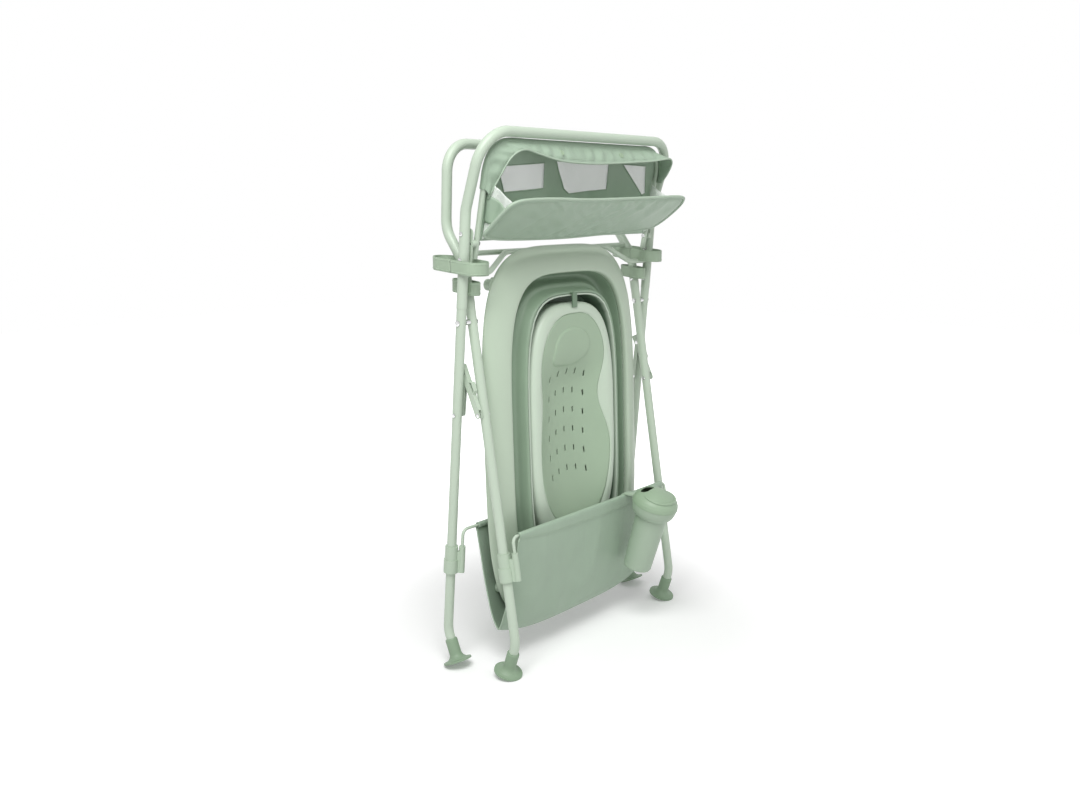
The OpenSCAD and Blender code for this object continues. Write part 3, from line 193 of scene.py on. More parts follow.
make_camera()
make_floor()
make_surround()
make_lamp("key", KEY_PLACE, KEY_TARGET, KEY_POWER)
make_lamp("fill", FILL_PLACE, FILL_TARGET, FILL_POWER)
bpy.context.scene.view_settings.view_transform = "Standard"


# Materials

# Colour sockets of a Mix node
MIX_A, MIX_B, MIX_RESULT = 6, 7, 2
ROUGH_SPREAD = 0.05
# Radians that Blender's wave texture turns by per metre, at scale 1
WAVE_RADIANS = 20


def linear(rgb):
    """Linear colour of an sRGB colour given in 0 to 255."""
    shares = (v / 255 for v in rgb)
    return tuple(c / 12.92 if c <= 0.04045 else ((c + 0.055) / 1.055) ** 2.4 for c in shares) + (1,)


def tinted(rgb, factor):
    return tuple(min(255, c * factor) for c in rgb)


class Shader:
    """A principled material with colour variation and bump in object coordinates."""

    def __init__(self, name, rgb, rough, metallic=0.0, variation=0.02, patch=12.0):
        self.mat, self.tree, out = new_material(name)
        self.node = self.tree.nodes.new("ShaderNodeBsdfPrincipled")
        self.node.inputs["Metallic"].default_value = metallic
        self.link(self.node.outputs[0], out.inputs[0])
        self.place = self.tree.nodes.new("ShaderNodeTexCoord").outputs["Object"]
        self.normal = None
        patches = self.noise(patch, 3)
        darker, lighter = (linear(tinted(rgb, 1 + change)) for change in (-variation, variation))
        self.color = self.mixed(patches, darker, lighter)
        spread = range_node(self.tree, patches, (0, 1), rough - ROUGH_SPREAD, rough + ROUGH_SPREAD)
        self.link(spread.outputs[0], self.node.inputs["Roughness"])

    def link(self, a, b):
        self.tree.links.new(a, b)

    def mixed(self, factor, a, b):
        """Sets and returns a base colour between two, each a colour or a socket."""
        node = self.tree.nodes.new("ShaderNodeMix")
        node.data_type = "RGBA"
        self.link(factor, node.inputs[0])
        for value, socket in ((a, node.inputs[MIX_A]), (b, node.inputs[MIX_B])):
            if isinstance(value, tuple):
                socket.default_value = value
            else:
                self.link(value, socket)
        self.link(node.outputs[MIX_RESULT], self.node.inputs["Base Color"])
        return node.outputs[MIX_RESULT]

    def noise(self, scale, detail=2, stretch=None):
        node = self.tree.nodes.new("ShaderNodeTexNoise")
        node.inputs["Scale"].default_value = scale
        node.inputs["Detail"].default_value = detail
        self.link(self.mapped(stretch) if stretch else self.place, node.inputs["Vector"])
        return node.outputs["Fac"]

    def mapped(self, scale, turn=(0, 0, 0)):
        node = self.tree.nodes.new("ShaderNodeMapping")
        node.inputs["Scale"].default_value = scale
        node.inputs["Rotation"].default_value = turn
        self.link(self.place, node.inputs["Vector"])
        return node.outputs[0]

    def wave(self, scale, direction, turn=(0, 0, 0)):
        node = self.tree.nodes.new("ShaderNodeTexWave")
        node.bands_direction = direction
        node.inputs["Scale"].default_value = scale
        node.inputs["Distortion"].default_value = 0.0
        self.link(self.mapped((1, 1, 1), turn), node.inputs["Vector"])
        return node.outputs["Fac"]

    def math(self, operation, a, b):
        return math_node(self.tree, operation, a, b)

    def bump(self, height, distance, strength=1.0):
        """Adds one layer of bump; distance is its depth in metres."""
        node = self.tree.nodes.new("ShaderNodeBump")
        node.inputs["Strength"].default_value = strength
        node.inputs["Distance"].default_value = distance
        self.link(height, node.inputs["Height"])
        if self.normal:
            self.link(self.normal, node.inputs["Normal"])
        self.normal = node.outputs[0]
        self.link(self.normal, self.node.inputs["Normal"])

    def set(self, socket, value):
        self.node.inputs[socket].default_value = value


def powder_coat(name, rgb):
    s = Shader(name, rgb, 0.40, variation=0.015)
    s.bump(s.noise(1400), distance=0.00006)
    s.bump(s.noise(120), distance=0.00005, strength=0.5)
    return s.mat


def moulded(name, rgb, rough):
    s = Shader(name, rgb, rough)
    s.bump(s.noise(900, 3), distance=0.00005)
    return s.mat


def rubbery(name, rgb, rough=0.44):
    s = Shader(name, rgb, rough, variation=0.025)
    s.bump(s.noise(2600), distance=0.00006)
    s.set("Specular IOR Level", 0.4)
    return s.mat


def steel(name, rgb):
    s = Shader(name, rgb, 0.22, metallic=1.0, variation=0.03, patch=300)
    s.bump(s.noise(2200, stretch=(1, 1, 0.1)), distance=0.00002)
    return s.mat


def woven(name, rgb, thread_mm, rough=0.5, depth=0.00012, creases=0.0012):
    """Cloth with a plain weave of the given thread pitch, and soft creases."""
    s = Shader(name, rgb, rough, variation=0.03, patch=25)
    pitch = math.pi / (thread_mm * MM) / WAVE_RADIANS
    s.bump(s.noise(14, 3), distance=creases, strength=0.6)
    s.bump(s.math("ADD", s.wave(pitch, "X"), s.wave(pitch, "Z")), distance=depth, strength=0.5)
    s.set("Sheen Weight", 0.08)
    s.set("Sheen Roughness", 0.5)
    return s.mat


def netting(name, rgb, pitch_mm, cover):
    """Net with open cells: threads along two diagonals over holes, covering about the given share."""
    s = Shader(name, rgb, 0.6, patch=25)
    scale = math.tau / (pitch_mm * MM) / WAVE_RADIANS
    one, other = (s.wave(scale, "X", (0, math.radians(turn), 0)) for turn in (45, -45))
    thread = s.math("MAXIMUM", one, other)
    s.link(s.math("GREATER_THAN", thread, (1 - cover) ** 0.5), s.node.inputs["Alpha"])
    s.bump(thread, distance=0.0002, strength=0.6)
    return s.mat


# Places behind the lip plane where painted shade on the base plastic starts and where it is full, and where
# its light back begins
BASE_SHADE_START = -27
BASE_SHADE_FULL = -18
BASE_BACK = 18.6


def recess_shaded(name, front_rgb, shade_rgb):
    """Moulded plastic in its own light colour on the front edge, with painted shade darkening the recess
    behind it.
    """
    s = Shader(name, front_rgb, 0.45)
    depth = s.tree.nodes.new("ShaderNodeVectorMath")
    depth.operation = "DOT_PRODUCT"
    depth.inputs[1].default_value = (0, math.cos(TUB_LEAN), -math.sin(TUB_LEAN))
    s.link(s.place, depth.inputs[0])
    middle = at(0, TUB_LIP_Y, TUB_MID_Z)
    plane = middle.y * math.cos(TUB_LEAN) - middle.z * math.sin(TUB_LEAN)
    ends = (plane + BASE_SHADE_START * MM, plane + BASE_SHADE_FULL * MM)
    share = range_node(s.tree, depth.outputs["Value"], ends, 0, 1)
    inside = s.math("LESS_THAN", depth.outputs["Value"], plane + BASE_BACK * MM)
    # Painted shade: the recess takes the shade colour, and the front edge and the back keep the plastic's own
    # light colour
    s.mixed(s.math("MULTIPLY", share.outputs[0], inside), s.color, linear(shade_rgb))
    s.bump(s.noise(900, 3), distance=0.00005)
    return s.mat


TUBE = powder_coat("tube_coat", (188, 203, 185))
STEEL = steel("rivet_steel", (205, 206, 206))
FOOT = moulded("foot_plastic", (137, 160, 134), 0.5)
CLIP = moulded("clip_plastic", (178, 195, 175), 0.5)
RIM = moulded("rim_plastic", (183, 199, 179), 0.42)
WALL = rubbery("folded_wall", (141, 163, 140))
SHELL = moulded("insert_plastic", (196, 211, 193), 0.42)
PAD = rubbery("insert_pad", (165, 186, 161), 0.5)
CLOTH = woven("satin_cloth", (158, 179, 158), 0.35)
PANEL_CLOTH = woven("panel_cloth", (160, 181, 160), 0.35, rough=0.42, creases=0.003)
WEBBING = woven("webbing", (160, 180, 156), 1.1, depth=0.0004, creases=0.0003)
CUP = moulded("cup_plastic", (166, 184, 164), 0.45)
LID = moulded("lid_plastic", (150, 172, 146), 0.45)
# Painted shade: a near-black sheet seen through the pad's slots, standing for the shade behind them
SLOT_SHADE = moulded("slot_painted_shade", (34, 46, 36), 0.8)
# Base plastic with painted shade in the recess round the insert
BASE = recess_shaded("base_plastic_painted_shade", (190, 204, 188), (98, 120, 100))
HOOK = moulded("buckle_plastic", (110, 134, 110), 0.45)
BINDING = woven("cloth_binding", (168, 187, 167), 0.5, rough=0.5, creases=0.0003)
THREAD = moulded("thread", (176, 194, 173), 0.6)
SNAP = moulded("snap_plastic", (152, 174, 146), 0.4)
NET = netting("pocket_net", (232, 238, 232), 1.4, 0.85)
NET_PANEL = netting("window_net", (250, 252, 251), 1.2, 0.35)


def dress(names, mat):
    """Gives CAD nodes a material."""
    for name in names:
        mesh = NODES[name].data
        mesh.materials.clear()
        mesh.materials.append(mat)


def both(*names):
    """Names of the left and the right one of each."""
    return [f"{name}_{side}" for name in names for side in ("left", "right")]


dress(both("rear_leg", "front_leg", "tray_bracket", "rear_link", "front_link"), TUBE)
dress(["outer_upper_tube", "inner_upper_tube", "support_rod", "cross_bar", "tray_frame"], TUBE)
dress(["basket_rear_rod", "basket_front_rod"], TUBE)
dress(both("knee_rivets", "outer_button", "inner_button"), STEEL)
dress(["pivot_pins", "pivot_spacers", "outer_frame_rivets", "inner_frame_rivets"], STEEL)
dress([*both("rear_foot", "front_foot"), "drain_plug"], FOOT)
dress(["insert_hook"], HOOK)
dress(["basket_rear_clips", "basket_front_clips", "tub_feet"], CLIP)
dress(["tub_rim"], RIM)
dress(["tub_fold_wall"], WALL)
dress(["tub_base"], BASE)
dress(["insert_shell"], SHELL)
dress(["insert_pad"], PAD)
dress(["cup_body", "cup_hook"], CUP)
dress(["cup_lid"], LID)
dress(["basket", "tray_back", "tray_hood", "tray_panel", "tray_windows"], CLOTH)
dress(both("strap"), WEBBING)


# Mesh helpers


def squircle(half_x, half_z, power, count):
    """Points of a superellipse, evenly turned."""
    points = []
    for i in range(count):
        a = math.tau * i / count
        c, s = math.cos(a), math.sin(a)
        k = (abs(c) ** power + abs(s) ** power) ** (-1 / power)
        points.append((half_x * k * c, half_z * k * s))
    return points


def grid_faces(rows, columns, loop_rows, loop_columns):
    """Faces of a grid of points, whose ends may be joined either way."""
    faces = []
    for i in range(rows if loop_rows else rows - 1):
        for j in range(columns if loop_columns else columns - 1):
            a, b = i * columns + j, i * columns + (j + 1) % columns
            n = (i + 1) % rows * columns
            faces.append((a, b, n + (j + 1) % columns, n + j))
    return faces


def make_mesh(name, points, faces, mat):
    mesh = bpy.data.meshes.new(name)
    mesh.from_pydata([tuple(p) for p in points], [], faces)
    mesh.materials.append(mat)
    form = bmesh.new()
    form.from_mesh(mesh)
    bmesh.ops.remove_doubles(form, verts=form.verts, dist=1e-6)
    bmesh.ops.recalc_face_normals(form, faces=form.faces)
    form.to_mesh(mesh)
    form.free()
    mesh.shade_smooth()
    return add_object(name, mesh)


def skin(name, rows, mat, loop_rows=False, loop_columns=True):
    """A surface through rows of points."""
    points = [p for row in rows for p in row]
    return make_mesh(name, points, grid_faces(len(rows), len(rows[0]), loop_rows, loop_columns), mat)


def thicken(piece, thickness):
    """Gives a surface a wall, half of it on each side."""
    mod = piece.modifiers.new("thickness", "SOLIDIFY")
    mod.thickness = thickness * MM
    mod.offset = 0.0
    mod.use_even_offset = False
    return piece


def soften(piece):
    mod = piece.modifiers.new("smooth", "SUBSURF")
    mod.levels = 1
    mod.render_levels = 1


def cut(piece, cutter):
    """Cuts the cutter's solids out of the piece and removes the cutter."""
    mod = piece.modifiers.new("cut", "BOOLEAN")
    mod.operation = "DIFFERENCE"
    mod.object = cutter
    mod.solver = "EXACT"
    freeze(piece)
    bpy.data.objects.remove(cutter)


def freeze(piece):
    """Applies the piece's modifiers."""
    bpy.context.view_layer.update()
    shape = piece.evaluated_get(bpy.context.evaluated_depsgraph_get())
    mesh = bpy.data.meshes.new_from_object(shape)
    piece.modifiers.clear()
    piece.data = mesh


def prisms(name, outlines, low, high, place):
    """Closed prisms over outlines, from low to high; place turns (u, v, depth) into a point."""
    points, faces = [], []
    for outline in outlines:
        start, n = len(points), len(outline)
        points += [place(u, v, low) for u, v in outline] + [place(u, v, high) for u, v in outline]
        faces += [(start + i, start + (i + 1) % n, start + n + (i + 1) % n, start + n + i) for i in range(n)]
        faces += [tuple(start + i for i in range(n)), tuple(start + n + i for i in range(n))]
    return make_mesh(name, points, faces, STEEL)


def tube(name, path, radius, mat, sides, closed=False, taper=None):
    """A round bead or cord along points in the row frame."""
    path = [Vector(p) for p in path]
    n = len(path)
    rows = []
    normal = None
    for i, p in enumerate(path):
        before = path[(i - 1) % n] if closed or i else p
        after = path[(i + 1) % n] if closed or i < n - 1 else p
        ahead = (after - before).normalized()
        if normal is None:
            normal = ahead.orthogonal().normalized()
        normal = (normal - ahead * normal.dot(ahead)).normalized()
        side = ahead.cross(normal)
        r = radius * MM * (taper[i] if taper else 1)
        rows.append([p + r * (math.cos(a) * normal + math.sin(a) * side)
                     for a in (math.tau * k / sides for k in range(sides))])
    piece = skin(name, rows, mat, loop_rows=closed)
    if not closed:
        form = bmesh.new()
        form.from_mesh(piece.data)
        bmesh.ops.holes_fill(form, edges=form.edges)
        form.to_mesh(piece.data)
        form.free()
    return piece


def smooth_line(points, step, closed=False):
    """A line through points on a spline, with its points about one step apart."""
    n = len(points)
    dense = []
    for i in range(n if closed else n - 1):
        if closed:
            p0, p1, p2, p3 = (points[(i + k) % n] for k in (-1, 0, 1, 2))
        else:
            p0, p1, p2, p3 = points[max(i - 1, 0)], points[i], points[i + 1], points[min(i + 2, n - 1)]
        count = max(1, round(math.dist(p1, p2) / step))
        for k in range(count):
            t = k / count
            dense.append(tuple(
                0.5 * (2 * b + (c - a) * t + (2 * a - 5 * b + 4 * c - d) * t * t
                       + (3 * b - a - 3 * c + d) * t ** 3)
                for a, b, c, d in zip(p0, p1, p2, p3)
            ))
    if not closed:
        dense.append(tuple(points[-1]))
    return dense


def bump_at(v, centre, spread):
    """A round hump of height 1 at the centre."""
    return math.exp(-(((v - centre) / spread) ** 2))


def arch(v):
    """A smooth rise from 0 to 1 and back, between 0 and 1."""
    return math.sin(math.pi * min(1, max(0, v)))


def even_shares(steps):
    """Even shares from -1 to 1."""
    return [2 * i / steps - 1 for i in range(steps + 1)]


# Stored tub: rim and folded wall, in the tub's own frame

RIM_T = 2.6
WALL_T = 2.2
TUB_POWER = 4
TUB_POINTS = 128


def tub(x, y, z):
    """x across, y to the rear of the lip plane, z along the tub."""
    c, s = math.cos(TUB_LEAN), math.sin(TUB_LEAN)
    return at(x, TUB_LIP_Y + y * c + z * s, TUB_MID_Z - y * s + z * c)


def tub_rows(profile):
    return [
        [tub(x, y, z) for x, z in squircle(TUB_HALF_X - inset, TUB_HALF_Z - inset, TUB_POWER, TUB_POINTS)]
        for inset, y in profile
    ]


# Each profile runs inward: distance in from the tub's outline, and place behind the lip plane
RIM_PROFILE = [
    (0, 1.2), (0, -0.4), (1, -2.4), (4, -6), (11, -12.5), (20, -18.4), (30, -22.6), (39, -25.2), (46, -26.4),
    (50.5, -26.4), (53, -24.8), (54, -21.5), (53.8, -15),
]
FOLD_PROFILE = [
    (53, -15), (53.8, -6), (55, 4), (57, 11), (60, 15), (64, 16.5), (68, 15.5), (71.5, 12), (74, 6),
    (76.5, 0.5), (79, -3), (82.5, -4.4), (85.6, -5.6), (88, -9.5), (90.2, -16), (91.8, -22), (93.2, -26.4),
    (94.8, -28.6), (96.2, -28.4), (97.4, -26.8), (98.2, -23), (98.3, -16),
]


def make_tub():
    rim = skin("bath_rim", tub_rows(RIM_PROFILE), RIM)
    soften(thicken(rim, RIM_T))
    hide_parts("tub_rim")
    wall = skin("bath_folded_wall", tub_rows(FOLD_PROFILE), WALL)
    soften(thicken(wall, WALL_T))
    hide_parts("tub_fold_wall")
    for piece in (rim, wall):
        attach(piece, "outer_frame")


# Bath insert: bolstered shell, hourglass pad with slots, raised headrest

INSERT_MID_Z = 14
INSERT_HALF_X = 137
INSERT_HALF_Z = 247.5
INSERT_POWER = 3.2
INSERT_FRONT = -33.0
INSERT_BACK = 16.0
INSERT_POINTS = 160
PAD_HALF_X = 102
PAD_HALF_Z = 222
PAD_POWER = 2.6
PAD_RISE = 6
PAD_EDGE = -31.0
WAIST_DROP = 12.0
# Share of the half height where the waist is narrowest, and how far it reaches
WAIST_AT = (0.2, 0.3)
SEAT_DEPTH = 34.0
HEAD_DEPTH = 12.0
CREST_INSET = 19
SLOT_ROWS = 6
SLOT_COLUMNS = 5
SLOT_SPAN = 56
SLOT_TOP = 95
SLOT_PITCH = 41
SLOT_ARCH = 12
SLOT_HALF_X = 2.0
SLOT_HALF_Z = 6.4
SLOT_STEPS = 5
PAD_RINGS = 46
PAD_T = 2.4
PAD_PROUD = 0.5
# A sheet of painted shade behind the slots: depth behind the pad, half width, and lowest and highest place
SHADOW_DEPTH = 4.0
SHADOW_HALF_X = 70
SHADOW_LOW = -132
SHADOW_HIGH = 120


def insert(x, y, z):
    return tub(x, y, z + INSERT_MID_Z)


def insert_outline(inset):
    return squircle(INSERT_HALF_X - inset, INSERT_HALF_Z - inset, INSERT_POWER, INSERT_POINTS)


def waist(v):
    """Share of the pad's half width at a height share."""
    return 1.18 - 0.29 * bump_at(v, *WAIST_AT)


def pad_outline(inset=0.0):
    """Narrow at the waist and wide at the hips."""
    points = []
    for x, z in squircle(PAD_HALF_X, PAD_HALF_Z, PAD_POWER, INSERT_POINTS):
        x *= waist(z / PAD_HALF_Z)
        points.append((x * (1 - inset / PAD_HALF_X), z * (1 - inset / PAD_HALF_Z) + PAD_RISE))
    return points


def pad_level(x, z):
    """Depth of the pad's face: a dish from the bolster's crest, deepest at the seat."""
    v = (z - PAD_RISE) / PAD_HALF_Z
    across = abs(x / (PAD_HALF_X * waist(v)))
    out = min(1.0, (across ** PAD_POWER + abs(v) ** PAD_POWER) ** (1 / PAD_POWER))
    head = min(1.0, max(0.0, (v - 0.3) / 0.4))
    head = head * head * (3 - 2 * head)
    drop = WAIST_DROP * bump_at(v, *WAIST_AT)
    depth = SEAT_DEPTH + (HEAD_DEPTH - SEAT_DEPTH) * head - drop
    return PAD_EDGE + drop + depth * (1 - out ** 2.6) ** 1.15


def outer_row(inset, y):
    return [insert(x, y, z) for x, z in insert_outline(inset)]


def inner_row(share, drop):
    """A row from the bolster's crest, share 0, to the pad's edge, share 1."""
    row = []
    for (ox, oz), (px, pz) in zip(insert_outline(CREST_INSET), pad_outline()):
        x, z = ox + share * (px - ox), oz + share * (pz - oz)
        row.append(insert(x, INSERT_FRONT + drop * (pad_level(px, pz) - INSERT_FRONT), z))
    return row


# Distance in from the shell's outline, and depth; then share of the way to the pad, and of the drop to it
BOLSTER = [
    (3, INSERT_BACK), (0, INSERT_BACK - 2), (0, INSERT_FRONT + 16), (0.8, INSERT_FRONT + 10),
    (3.4, INSERT_FRONT + 5), (8, INSERT_FRONT + 1.6), (13.5, INSERT_FRONT + 0.2),
]
HOLLOW = [
    (0, 0), (0.2, 0.05), (0.42, 0.22), (0.62, 0.52), (0.8, 0.8), (0.93, 0.95), (0.985, 1.05), (1.0, 1.4),
]


def make_insert():
    shell = skin("insert_body", [outer_row(*p) for p in BOLSTER] + [inner_row(*p) for p in HOLLOW], SHELL)
    soften(thicken(shell, WALL_T))
    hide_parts("insert_shell")
    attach(shell, "bath_insert")
    make_pad()
    make_headrest()


def drain_slot(cx, cz, lean):
    """Outline of an upright slot with round ends, which leans by a share of its height."""
    outline = []
    for end in (1, -1):
        for i in range(SLOT_STEPS + 1):
            a = math.pi * i / SLOT_STEPS + (0 if end > 0 else math.pi)
            x = SLOT_HALF_X * math.cos(a)
            z = end * (SLOT_HALF_Z - SLOT_HALF_X) + SLOT_HALF_X * math.sin(a)
            outline.append((cx + x + lean * z, cz + z))
    return outline


def make_pad():
    outline = pad_outline(0.4)
    rows = []
    for i in range(PAD_RINGS):
        t = 1 - i / PAD_RINGS
        row = []
        for x, z in outline:
            x, z = x * t, PAD_RISE + (z - PAD_RISE) * t
            y = pad_level(x, z) - PAD_PROUD * min(1.0, (1 - t) * 22)
            row.append(insert(x, y, z))
        rows.append(row)
    rows.append([insert(0, pad_level(0, PAD_RISE) - PAD_PROUD, PAD_RISE)] * len(outline))
    pad = skin("insert_seat_pad", rows, PAD)
    thicken(pad, PAD_T)
    slots = []
    for row in range(SLOT_ROWS):
        for u in even_shares(SLOT_COLUMNS - 1):
            rise = SLOT_TOP - SLOT_PITCH * row + SLOT_ARCH * (1 - u * u)
            slots.append(drain_slot(SLOT_SPAN * u, rise, lean=-0.10 * u))
    cut(pad, prisms("slot_cutter", slots, -45, 14, lambda u, v, d: insert(u, d, v)))
    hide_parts("insert_pad")
    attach(pad, "bath_insert")
    rows = [
        [insert(x, pad_level(x, z) + SHADOW_DEPTH, z) for x in range(-SHADOW_HALF_X, SHADOW_HALF_X + 1, 14)]
        for z in range(SHADOW_LOW, SHADOW_HIGH + 1, 18)
    ]
    back = skin("insert_slot_shadow", rows, SLOT_SHADE, loop_columns=False)
    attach(back, "bath_insert")


HEADREST_HALF_X = 57
HEADREST_HALF_Z = 40
HEADREST_Z = 158
HEADREST_POINTS = 120
HEADREST_LIFT = 1.2


def headrest_outline():
    """A round pad drawn out to a soft corner at its lower left."""
    outline = []
    for i in range(HEADREST_POINTS):
        a = math.tau * i / HEADREST_POINTS
        corner = bump_at(((a - math.radians(218) + math.pi) % math.tau) - math.pi, 0, 0.38)
        r = 1 + 0.26 * corner
        outline.append((HEADREST_HALF_X * r * math.cos(a), HEADREST_HALF_Z * r * math.sin(a)))
    return outline


# Share of the outline, and height above the pad, from the groove round the headrest inward
HEADREST_PROFILE = (
    (1.06, 0.5), (1.03, 0.75), (1.0, 0.6), (0.985, 1.4), (0.96, 2.3), (0.92, 2.8), (0.8, 3.0), (0.6, 3.1),
    (0.4, 3.1), (0.2, 3.1),
)


def make_headrest():
    rows = []
    for t, lift in HEADREST_PROFILE:
        rows.append([
            insert(x * t, pad_level(x * t, HEADREST_Z + z * t) - HEADREST_LIFT - lift, HEADREST_Z + z * t)
            for x, z in headrest_outline()
        ])
    top = insert(0, pad_level(0, HEADREST_Z) - HEADREST_LIFT - HEADREST_PROFILE[-1][1], HEADREST_Z)
    rows.append([top] * HEADREST_POINTS)
    rest = skin("insert_headrest", rows, PAD)
    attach(rest, "bath_insert")


make_tub()
make_insert()


# Hung basket: two halves of a sling on the two rods

BASKET_HALF_X = 242
BASKET_FRONT_Y = -89.0
BASKET_REAR_Y = 15.9
BASKET_ROD_Z = 278
BASKET_MID_Y = (BASKET_FRONT_Y + BASKET_REAR_Y) / 2
BASKET_HALF_Y = (BASKET_REAR_Y - BASKET_FRONT_Y) / 2 + 4
BASKET_LOW = 50.75
BASKET_END_LIFT = 24
BASKET_POWER = 2.1
BASKET_END_POWER = 1.42
HEM_R = 4.9
HEM_DEPTH = 0.055
HEM_STEP = 1.5
# The hem turns round the rod from and through these angles, and its wrap takes this many of its radii
HEM_START = -70
HEM_TURN = 250
HEM_STEPS = 12
# Distance from stitch to stitch, and each one's length and radius
HEM_STITCH = (3.6, 2.6, 0.42)
BASKET_T = 1.0
BASKET_BINDING_R = 1.5
BASKET_COLUMNS = 120
BASKET_STEPS = 52
BASKET_INSET = 0.6
BASKET_SAG = 3.0
BASKET_FOLDS = 1.2
# Height of the rear half's end point
BASKET_REAR_Z = 62


def basket_point(x, side, t):
    """A point of the sling: side -1 in front and 1 behind, t from 0 at the rod to 1 at the bottom."""
    u = x / BASKET_HALF_X
    low = BASKET_LOW + BASKET_END_LIFT * abs(u) ** 4
    angle = t * math.pi / 2
    power = BASKET_POWER + (BASKET_END_POWER - BASKET_POWER) * abs(u) ** 3
    reach = BASKET_HALF_Y * math.cos(angle) ** (2 / power)
    drop = (BASKET_ROD_Z - low) * math.sin(angle) ** (2 / power)
    hang = arch(1.15 * t) ** 0.8
    if side < 0:
        fold = 1.5 * math.sin(7.5 * u + 0.8) + 0.9 * math.sin(17 * u + 3.1 * t)
        fold += 2.2 * bump_at(u + 0.55 - 0.25 * t, 0, 0.07) - 1.8 * bump_at(u - 0.2 + 0.3 * t, 0, 0.09)
        fold += 1.6 * bump_at(u - 0.62, 0, 0.05)
    else:
        fold = 2.4 * math.sin(9 * u + 5 * t) + 3.0 * bump_at(u + 0.78 - 0.3 * t, 0, 0.07)
        fold -= 2.6 * bump_at(u + 0.55 + 0.25 * t, 0, 0.06)
    fold += 2.0 * noise.noise(Vector((5 * u, 3.0 * side, 4 * t)))
    fold += 1.2 * noise.noise(Vector((26 * u, 5.0 * side, 1.5 * t))) * math.exp(-t / 0.3)
    hem = HEM_STEP if t < HEM_DEPTH else 0
    out = reach - BASKET_INSET + (BASKET_FOLDS * fold - BASKET_SAG) * hang + hem
    return at(x, BASKET_MID_Y + side * out, BASKET_ROD_Z - drop)


def basket_columns():
    return [BASKET_HALF_X * u for u in even_shares(BASKET_COLUMNS)]


def basket_half(name, side):
    rod_y = BASKET_FRONT_Y if side < 0 else BASKET_REAR_Y
    rows = []
    for k in range(HEM_STEPS):
        a = math.radians(HEM_START + k * HEM_TURN / HEM_STEPS)
        y = rod_y - side * HEM_R * math.cos(a)
        rows.append([at(x, y, BASKET_ROD_Z + HEM_R * math.sin(a)) for x in basket_columns()])
    for i in range(1, BASKET_STEPS + 1):
        rows.append([basket_point(x, side, (i / BASKET_STEPS) ** 1.2) for x in basket_columns()])
    piece = skin(name, rows, CLOTH, loop_columns=False)
    thicken(piece, BASKET_T)
    freeze(piece)
    return piece


def stitch_row(name, path, normal, pitch, length, radius):
    """Short raised threads along a path of points; normal is their lift off the cloth."""
    points, faces = [], []
    lengths = [0.0]
    for a, b in zip(path, path[1:]):
        lengths.append(lengths[-1] + (b - a).length)
    total = lengths[-1]

    def along(s):
        s = min(max(s, 0), total)
        for i in range(len(path) - 1):
            if s <= lengths[i + 1]:
                span = lengths[i + 1] - lengths[i]
                return path[i].lerp(path[i + 1], (s - lengths[i]) / span if span else 0)
        return path[-1]

    for k in range(int(total / (pitch * MM))):
        a = along(k * pitch * MM)
        b = along((k * pitch + length) * MM)
        ahead = (b - a).normalized()
        lift = normal.normalized() * radius * MM
        side = ahead.cross(lift).normalized() * radius * MM
        start = len(points)
        mid = (a + b) / 2
        for p, s in ((a, 0.3), (mid, 1.0), (b, 0.3)):
            points += [p + side * s, p + lift * s, p - side * s, p - lift * s]
        for ring in (0, 4):
            faces += [
                tuple(start + ring + q for q in (i, (i + 1) % 4, 4 + (i + 1) % 4, 4 + i)) for i in range(4)
            ]
        faces += [tuple(start + i for i in range(4)), tuple(start + 8 + i for i in range(4))]
    return make_mesh(name, points, faces, THREAD)


def make_basket():
    front_end = tuple(at(0, BASKET_MID_Y - BASKET_HALF_Y, BASKET_ROD_Z))
    rear_end = tuple(at(0, BASKET_MID_Y + 0.8 * BASKET_HALF_Y, BASKET_REAR_Z))
    halves = (
        ("front", -1, "inner_frame", front_end, basket_half("basket_front_cloth", -1)),
        ("rear", 1, "outer_frame", rear_end, basket_half("basket_rear_cloth", 1)),
    )
    profile = [basket_point(0, -1, (i / 60) ** 0.9) for i in range(1, 61)]
    for label, side, body, end, cloth in halves:
        pieces = [cloth]
        for tag, x in (("left", -BASKET_HALF_X), ("right", BASKET_HALF_X)):
            path = [basket_point(x, side, (i / 30) ** 0.9) for i in range(1, 31)]
            pieces.append(tube(f"basket_{label}_{tag}_binding", path, BASKET_BINDING_R, BINDING, sides=8))
        off = Vector((0, side * 0.7 * MM, 0))
        path = [basket_point(x, side, HEM_DEPTH - 0.008) + off for x in basket_columns()]
        pieces.append(stitch_row(f"basket_{label}_hem_stitches", path, Vector((0, side, 0)), *HEM_STITCH))
        for piece in pieces:
            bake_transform(piece)
        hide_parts("basket")


# Organizer on its tilting frame, in the frame's own plane

TRAY_LEAN = math.radians(11)
TRAY_Y = -16
TRAY_Z = 824
TRAY_HALF_X = 270
TRAY_TOP = 184
TRAY_CORNER = 50
HOOD_R = 7.0
BACK_HALF_X = 262.7
BACK_LOW = 5
BACK_TOP = 177
BACK_CORNER = 43
BACK_T = 0.9
NET_T = 0.4
NET_HALF_X = 250
NET_LOW = 78
NET_HEIGHT = 88


def tray(x, y, z):
    """x across, y to the rear of the frame, z along its side tubes."""
    c, s = math.cos(TRAY_LEAN), math.sin(TRAY_LEAN)
    return at(x, TRAY_Y + y * c - z * s, TRAY_Z + y * s + z * c)


WINDOWS = [
    [(-241, 140), (-108, 149), (-99, 101), (-214, 93)],
    [(-74, 153), (94, 153), (101, 100), (-15, 90), (-35, 100)],
    [(143, 152), (228, 150), (244, 93), (231, 89)],
]


